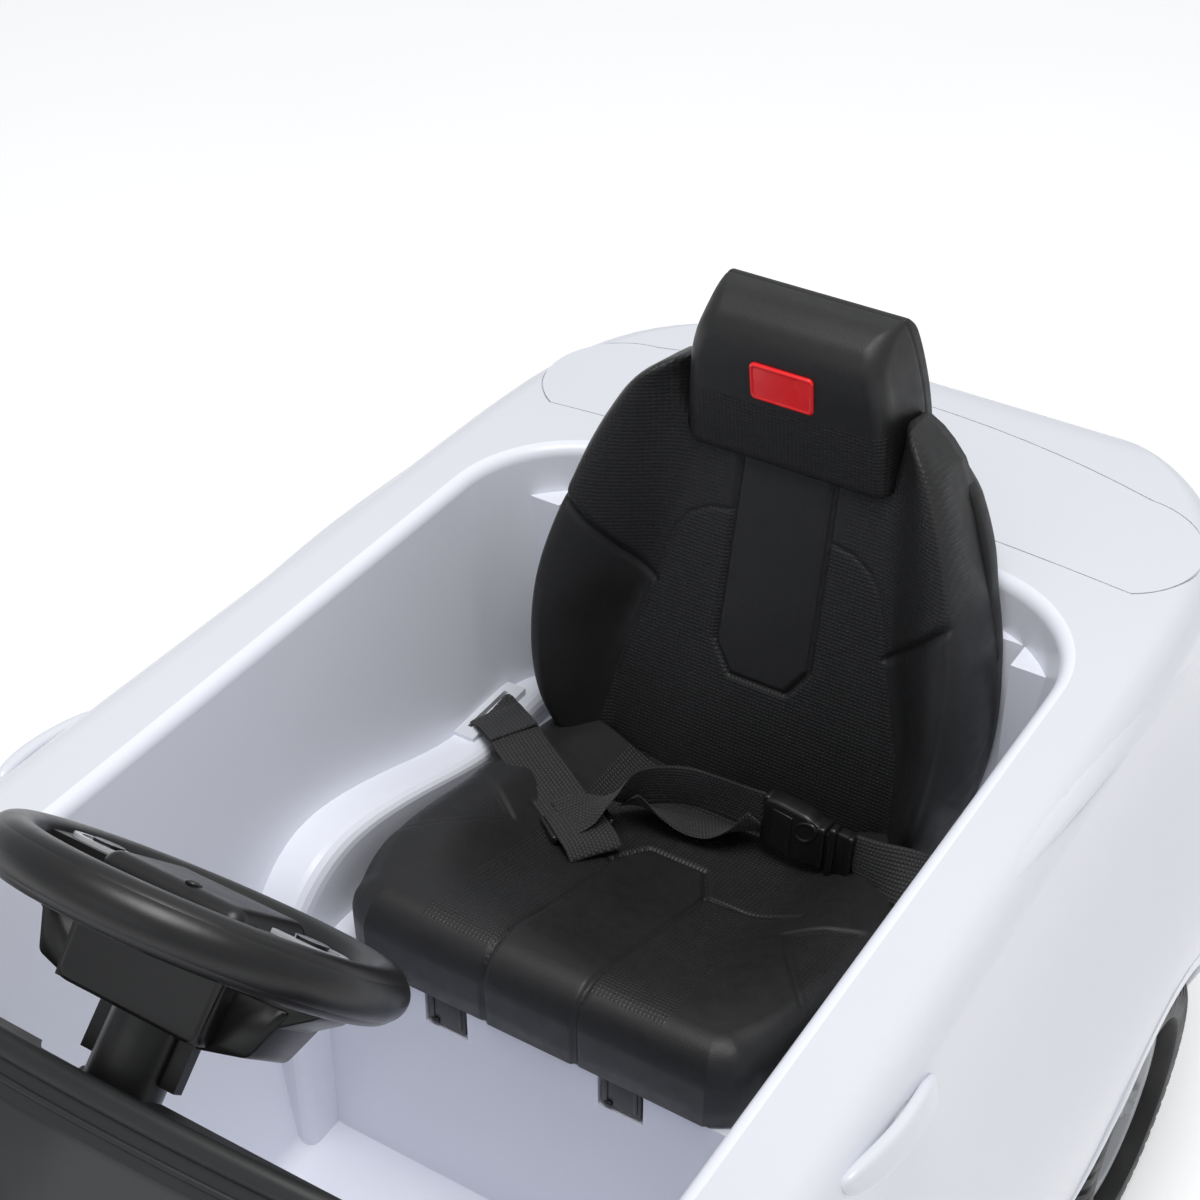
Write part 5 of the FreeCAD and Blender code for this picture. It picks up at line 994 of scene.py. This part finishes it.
# Hub box by half sizes and height, and webs under the spokes by their ends and outline
HUB_LEVELS = ((38.4, 25.4, -4), (38.4, 25.4, -8), (37.3, 24.3, -38), (36.9, 23.9, -40.6), (36.0, 23.0, -42.2),
              (34.4, 21.4, -42.8))
WEBS = (
    (-13, 13, [(34, -7), (78, -8), (75, -14), (54, -28), (34, -37)]),
    (-14, 19, [(30, -18), (64, -16), (54, -39), (30, -45)]),
)
WEB_EDGE, WEB_SHARE = 1.5, 0.96
web_parts = [stack([[on_wheel(a, b, level) for a, b in corner_outline(half_x, half_w, 5.0, 8)]
                    for half_x, half_w, level in HUB_LEVELS])]
for side in (1, -1):
    for low, high, shape in WEBS:
        outline = smooth_loop(shape, 2.5, 1.5)
        middle = outline.mean(axis=0)
        rings = []
        for w, share in ((low, WEB_SHARE), (low + WEB_EDGE, 1.0), (high - WEB_EDGE, 1.0), (high, WEB_SHARE)):
            rings.append([on_wheel(side * x, w, s) for x, s in middle + (outline - middle) * share])
        web_parts.append(stack(rings))
web_piece = add_parts("steering_webs", web_parts, black, "steering")

# Screw recess on the wheel's pad, by radius and height
RECESS_X, RECESS_W = 6.0, -22.0
RECESS_LEVELS = ((3.6, 12.4), (3.6, 13.5), (3.0, 13.9), (2.4, 13.9), (2.1, 13.2), (2.0, 12.6))
rings = []
for r, rise in RECESS_LEVELS:
    rings.append([on_wheel(RECESS_X + r * math.cos(a), RECESS_W + r * math.sin(a), rise)
                  for a in round_turn(28)])
recess_piece = add_mesh("steering_recess", *stack(rings), black_gloss, "steering")

# Tyres with moulded tread, each one piece with its wheel
TYRE_RADIUS = 98.0
GROOVES, GROOVE_DEPTH = 52, 3.6
TREAD_HALF, SHOULDER_WIDE, SHOULDER_DEEP = 18.0, 15.8, 18.0
# Radius and place along the axle, from the bore out to the tread and from the tread back to the bore
TYRE_INNER = [(5.2, -34), (14, -34), (14, -6), (60, -6), (64, -33), (68, -34), (76, -34.0)]
TYRE_OUTER = [(76, 34.0), (70, 34), (67.5, 33.4), (66.2, 31.5), (66, 8), (14, 8), (14, 15), (5.2, 15)]
shoulder = np.linspace(0, math.pi / 2, 15)[1:]
shoulder_x = TREAD_HALF + SHOULDER_WIDE * np.sin(shoulder)
shoulder_r = TYRE_RADIUS - SHOULDER_DEEP * (1 - np.cos(shoulder)) ** 0.9
flat_x = np.linspace(-TREAD_HALF, TREAD_HALF, 25)
tread_x = np.concatenate([-shoulder_x[::-1], flat_x, shoulder_x])
tread_r = np.concatenate([shoulder_r[::-1], 0 * flat_x + TYRE_RADIUS, shoulder_r])
profile_r, profile_x = np.concatenate([TYRE_INNER, np.stack([tread_r, tread_x], axis=-1), TYRE_OUTER]).T
on_tread = np.array([0] * len(TYRE_INNER) + [1] * len(tread_x) + [0] * len(TYRE_OUTER))


def tread_depth(turn, x):
    """How deep the tread is cut at a place on the tyre."""
    pitch = turn * GROOVES / FULL_TURN
    lateral = (pitch + np.sign(x) * 0.25 + np.abs(x) * 0.012) % 1.0
    cross = step_down(np.abs(lateral - 0.5), 0.17, 0.05) * step_up(np.abs(x), 9.5, 1.0)
    ring = step_down(np.abs(np.abs(x) - 10.5), 1.9, 0.8)
    sipe = step_down(np.abs((pitch * 2) % 1.0 - 0.5), 0.07, 0.04) * step_down(np.abs(x), 6.0, 1.0) * 0.5
    return GROOVE_DEPTH * np.maximum(np.maximum(cross, ring), sipe)


def on_axle(side, axle_y, out, r, turn):
    """Points round a wheel by place along its axle, radius and turn."""
    x = side * (WHEEL_X + out + 0 * r)
    return np.stack([x, axle_y + r * np.cos(turn), AXLE_Z + r * np.sin(turn)], axis=-1)


turns = round_turn(GROOVES * 8)[:, None]
cut_r = profile_r - tread_depth(turns, profile_x) * on_tread
tyre_faces = ring_faces(*cut_r.shape, closed=True)
for name, (side, axle_y) in WHEELS.items():
    places = on_axle(side, axle_y, profile_x, cut_r, turns)
    tyre = add_mesh("tyre_tread_" + name, places.reshape(-1, 3), tyre_faces, tyre_black, "wheel_" + name)
    sharp_edges(tyre, 38)
    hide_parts("tyre_" + name)

# Wheel covers with five split spokes and a cap
COVER_RADIUS, COVER_REAR = 65.4, 9.0
COVER_RINGS, COVER_TURNS, SPOKES = 46, 240, 5
cover_r = np.linspace(0.0, COVER_RADIUS, COVER_RINGS)[1:]
rr, aa = np.meshgrid(cover_r, round_turn(COVER_TURNS), indexing="ij")
spoke = np.abs(((aa * SPOKES / FULL_TURN) % 1.0) - 0.5) * FULL_TURN / SPOKES * rr
solid = step_down(spoke, 9.5 + 4.5 * (1 - rr / 65), 2.4)
split = step_down(spoke, 1.5, 1.2) * step_up(rr, 22, 5) * step_down(rr, 56, 5)
high = np.maximum(np.maximum(solid, step_down(rr, 19, 2.5)), step_up(rr, 54.5, 2.5))
dish = 21.5 - 3.0 * np.clip(1 - rr / 60, 0, 1)
cap = 2.6 * step_down(rr, 15.5, 2.0) - 1.0 * step_down(rr, 11, 2.0)
bead = 1.6 * np.exp(-((rr - 60.0) / 2.6) ** 2) - 2.4 * step_up(rr, 63.4, 2.0)
cover_x = dish - 8.0 * (1 - high) - 1.8 * split + cap + bead
for name, (side, axle_y) in WHEELS.items():
    places = on_axle(side, axle_y, cover_x, rr, aa)
    rear = on_axle(side, axle_y, COVER_REAR, rr[-1], aa[-1])
    verts = [(side * (WHEEL_X + cover_x[0].mean()), axle_y, AXLE_Z), *places[0]]
    faces = [(0, 1 + k, 1 + (k + 1) % COVER_TURNS) for k in range(COVER_TURNS)]
    skirt(verts, faces, range(1, COVER_TURNS + 1), [*places[1:], rear])
    cover = add_mesh("wheel_trim_" + name, verts, faces, silver, "wheel_" + name)
    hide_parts("wheel_cover_" + name)

# The body's surface, to lay trim on
body_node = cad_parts["body_shell"]
body_mesh = bmesh.new()
body_mesh.from_mesh(body_node.data)
body_mesh.transform(body_node.matrix_world)
body_tree = BVHTree.FromBMesh(body_mesh)
body_mesh.free()
WIDEST = cad_high[0] / MM
OUTSIDE = 600.0


def on_body(point):
    """The nearest place on the body's surface and its normal, in millimetres."""
    place, normal, _, _ = body_tree.find_nearest(Vector(point) * MM)
    return np.array(place) / MM, np.array(normal)


def body_side(y, z):
    """How far out the body's side lies, looking in from the left."""
    place = body_tree.ray_cast(Vector((OUTSIDE, y, z)) * MM, Vector((-1, 0, 0)))[0]
    return place[0] / MM


# Rolled lips round the wheel arches, with their section by growth in radius and distance out from the body
LIP_SECTION = ((-0.6, -7.0), (-0.6, 0.8), (0.6, 1.9), (3.0, 2.3), (7.5, 1.9), (9.5, 0.6), (9.8, -2.0))
LIP_FOOT, LIP_SPRING, LIP_HOLD = 70.0, 96.0, 3.0
spine = [(-1.0, 0.0, z) for z in np.linspace(LIP_FOOT, LIP_SPRING, 8)]
spine += [(math.cos(a), math.sin(a), AXLE_Z) for a in np.linspace(math.pi, 0, 91)]
spine += [(1.0, 0.0, z) for z in np.linspace(LIP_SPRING, LIP_FOOT, 8)]
for name, axle_y, radius in (("front", FRONT_AXLE_Y, 113.0), ("rear", REAR_AXLE_Y, 108.0)):
    for side, side_name in SIDES:
        rings = []
        for along, lift, z in spine:
            ring = []
            for grow, out in LIP_SECTION:
                held = radius + max(grow, LIP_HOLD)
                reach = radius + grow
                side_x = body_side(axle_y + held * along, z + held * lift)
                ring.append((side * min(side_x + out, WIDEST), axle_y + reach * along, z + reach * lift))
            rings.append(ring)
        lip = add_mesh("arch_lip_%s_%s" % (name, side_name), *stack(rings), white, "car")

# Shoulder crease along the rear quarter, laid on the body's own surface
CREASE_LINE = np.array(((231.9, 94, 412.4), (233.9, 128.7, 410.3), (237.4, 200.2, 405.5),
                        (239.8, 282.8, 396.7), (239.4, 335.7, 385.5), (237.5, 394.8, 370.0),
                        (235, 440, 358.0)))
CREASE_ACROSS = (-13, -11, -9, -7, -5, -3.5, -2.2, -1.2, -0.5, 0.1, 0.7, 1.3, 2.2)
CREASE_RISE = (-0.6, 0.0, 0.5, 1.0, 1.5, 1.85, 2.1, 2.2, 2.0, 1.6, 0.9, 0.1, -0.6)
CREASE_STEPS, CREASE_FADE, CREASE_SUNK, CREASE_THICK = 121, 0.35, 0.6, 1.2
crease_run = np.linspace(0, 1, CREASE_STEPS)
crease_y = CREASE_LINE[0, 1] + (CREASE_LINE[-1, 1] - CREASE_LINE[0, 1]) * crease_run
crease_points = np.stack([curve(crease_y, CREASE_LINE[:, 1], column) for column in CREASE_LINE.T], axis=-1)
for side, side_name in SIDES:
    verts = []
    for t, point in zip(crease_run, crease_points * (side, 1, 1)):
        base, normal = on_body(point)
        lateral = unit(np.cross((0.0, 1.0, 0.0), normal)) * side
        lift = step_up(t, 0, CREASE_FADE) * step_down(t, 1, CREASE_FADE)
        for across, rise in zip(CREASE_ACROSS, CREASE_RISE):
            spot, facing = on_body(base + lateral * across)
            verts.append(spot + facing * (rise * lift - CREASE_SUNK * (1 - lift)))
    faces = [face[::side] for face in grid_faces(CREASE_STEPS, len(CREASE_ACROSS))]
    crease = add_mesh("shoulder_crease_" + side_name, verts, faces, white, "car", closed=False)
    thick = crease.modifiers.new("skin", "SOLIDIFY")
    thick.thickness = CREASE_THICK * MM
    thick.offset = -1.0

# Door handles: bars that stand off the shoulder between their rounded ends
HANDLE_ENDS = np.array(((242.6, -74.0, 402.0), (244.4, 16.0, 385.5)))
HANDLE_OUT = unit((0.95, 0.0, 0.30))
HANDLE_SECTION = corner_outline(4.0, 8.0, 3.4, 5)
HANDLE_GAP, HANDLE_BOW, HANDLE_TIP_SHARE = 1.0, 6.5, 0.2
for side, side_name in SIDES:
    normal = HANDLE_OUT * (side, 1, 1)
    up = unit(np.cross(normal, (0.0, side, 0.0)))
    rings = []
    for span in np.linspace(0, 1, 49):
        base = (HANDLE_ENDS[0] + (HANDLE_ENDS[1] - HANDLE_ENDS[0]) * span) * (side, 1, 1)
        ends = math.sqrt(max(0.0, 1 - abs(2 * span - 1) ** 5))
        out = HANDLE_GAP + HANDLE_BOW * math.sin(math.pi * span) ** 0.7
        size = HANDLE_TIP_SHARE + (1 - HANDLE_TIP_SHARE) * ends
        rings.append([base + normal * (out + p * size) + up * q * size for p, q in HANDLE_SECTION])
    handle = add_mesh("door_handle_bar_" + side_name, *stack(rings), white, "car")
    if side > 0:
        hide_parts("door_handles")

# Rail on top of the windscreen frame and beads across it, by height share, distance out and half sizes
SCREEN_HALF, SCREEN_BOW, SCREEN_DROP, RAIL_INSET = 198.0, 16.0, 10.0, 2.0
SCREEN_LOW_Y, SCREEN_LOW_Z, SCREEN_HIGH_Y, SCREEN_HIGH_Z = -372.0, 402.0, -257.0, 505.0
RAILS = ((0.975, -1.5, 5.6, 5.0), (0.90, -0.4, 1.6, 1.6), (0.24, -0.4, 1.6, 1.6))


def on_screen(x, share, out):
    """A point on the windscreen panel by place across, share of its height and distance out of its face."""
    bend = (x / SCREEN_HALF) ** 2
    low = np.array((x, SCREEN_LOW_Y + SCREEN_BOW * bend, SCREEN_LOW_Z))
    high = np.array((x, SCREEN_HIGH_Y + SCREEN_BOW * bend, SCREEN_HIGH_Z - SCREEN_DROP * bend))
    along = high - low
    face = unit(np.array((0.0, along[2], -along[1])))
    return low + along * share - face * out


rail_parts = []
for share, out, half_up, half_out in RAILS:
    rings = []
    for x in np.linspace(-SCREEN_HALF + RAIL_INSET, SCREEN_HALF - RAIL_INSET, 81):
        centre = on_screen(x, share, out)
        up = unit(on_screen(x, share + 0.05, out) - centre)
        face = unit(on_screen(x, share, out + 1.0) - centre)
        rings.append([centre + up * half_up * math.cos(a) + face * half_out * math.sin(a)
                      for a in round_turn(18)])
    rail_parts.append(stack(rings))
rail = add_parts("windscreen_rail", rail_parts, grey, "car")

# Black ribs in the nose and the tail, standing on the chassis pan: painted shade, dark plates in place of the
# shade inside the hollow body where it shows through the wheel arches
PAN_TOP, PAN_END = 52.0, 498.0
RIB_ENDS = ((-530.0, -452.0), (384.0, 528.0))
RIB_MIDDLE, RIB_HALF_HIGH, RIB_TOP = 156.0, 88.0, 243.0
RIB_HALF, FOOT_HALF, FLANGE_HALF, FOOT_WIDE, TOP_WIDE = 1.6, 10.0, 1.6, 9.0, 7.0
CROSS_FIN_INSET, CROSS_FIN_HALF = 6.0, (6.0, 1.4, 86.0)
rib_parts = []
for low, high in RIB_ENDS:
    middle, half_long = (low + high) / 2, (high - low) / 2
    foot_low, foot_high = max(low, -PAN_END), min(high, PAN_END)
    foot, foot_long = (foot_low + foot_high) / 2, (foot_high - foot_low) / 2
    rib_parts += boxes((
        ((0, middle, RIB_MIDDLE), (RIB_HALF, half_long, RIB_HALF_HIGH), 1.2),
        ((0, foot, PAN_TOP + FOOT_HALF), (RIB_HALF, foot_long, FOOT_HALF), 1.2),
        ((0, foot, PAN_TOP + FLANGE_HALF), (FOOT_WIDE, foot_long, FLANGE_HALF), 1.2),
        ((0, middle, RIB_TOP), (TOP_WIDE, half_long, FLANGE_HALF), 1.2),
    ))
    for y in (low + CROSS_FIN_INSET, middle, high - CROSS_FIN_INSET):
        rib_parts += boxes([((0, y, RIB_MIDDLE), CROSS_FIN_HALF, 1.0)])
ribs = add_parts("dark_shade_ribs", rib_parts, black, "car")

# Camera at the photograph's place, in metres
CAMERA_PLACE = (0.4736, -0.6350, 1.1540)
VIEW_AZIMUTH = math.radians(32)
VIEW_ELEVATION = math.radians(36.5)
look = Vector((-math.sin(VIEW_AZIMUTH) * math.cos(VIEW_ELEVATION),
               math.cos(VIEW_AZIMUTH) * math.cos(VIEW_ELEVATION), -math.sin(VIEW_ELEVATION)))
camera = bpy.data.objects.new("camera", bpy.data.cameras.new("camera"))
camera.data.lens = 66.0
camera.data.sensor_width = 36.0
camera.location = CAMERA_PLACE
camera.rotation_euler = look.to_track_quat("-Z", "Y").to_euler()
bpy.context.scene.collection.objects.link(camera)
bpy.context.scene.camera = camera

# Floor and studio light, in metres
FLOOR_HALF = 9.0
FLOOR_DARK, FLOOR_PALE = (0.94, 0.94, 0.945), (0.96, 0.96, 0.965)
floor_mat, floor_tree, floor_shader = new_material("studio_floor")
floor_noise = noise(floor_tree, coords(floor_tree), 3.0)
link(floor_tree, ramp(floor_tree, floor_noise, FLOOR_DARK, FLOOR_PALE), floor_shader.inputs["Base Color"])
floor_shader.inputs["Roughness"].default_value = 0.6
floor_shader.inputs["Emission Color"].default_value = (1, 1, 1, 1)
floor_shader.inputs["Emission Strength"].default_value = 0.36
floor_data = bpy.data.meshes.new("floor")
floor_corners = [(x * FLOOR_HALF, y * FLOOR_HALF, 0) for x, y in ((-1, -1), (1, -1), (1, 1), (-1, 1))]
floor_data.from_pydata(floor_corners, [], [(0, 1, 2, 3)])
floor_data.materials.append(floor_mat)
floor = bpy.data.objects.new("floor", floor_data)
bpy.context.scene.collection.objects.link(floor)


def area_light(name, place, aim, size, power, colour=(1, 1, 1)):
    data = bpy.data.lights.new(name, "AREA")
    data.shape = "RECTANGLE"
    data.size, data.size_y = size
    data.energy = power
    data.color = colour
    lamp = bpy.data.objects.new(name, data)
    lamp.location = place
    lamp.rotation_euler = (Vector(aim) - Vector(place)).to_track_quat("-Z", "Y").to_euler()
    bpy.context.scene.collection.objects.link(lamp)


area_light("key", (0.18, -0.05, 2.1), (0, 0.05, 0.3), (0.9, 0.9), 20, (1.0, 0.99, 0.98))
area_light("fill", (-0.4, -2.2, 1.6), (0, 0.1, 0.25), (1.8, 1.2), 3, (0.97, 0.98, 1.0))
area_light("back", (-0.3, 2.4, 2.2), (0, 0.2, 0.3), (2.4, 1.6), 4)
world = bpy.data.worlds.new("studio")
world.use_nodes = True
world.node_tree.nodes["Background"].inputs["Color"].default_value = (0.95, 0.97, 1.0, 1)
world.node_tree.nodes["Background"].inputs["Strength"].default_value = 0.50
bpy.context.scene.world = world
bpy.context.scene.view_settings.view_transform = "Standard"

bpy.context.view_layer.update()
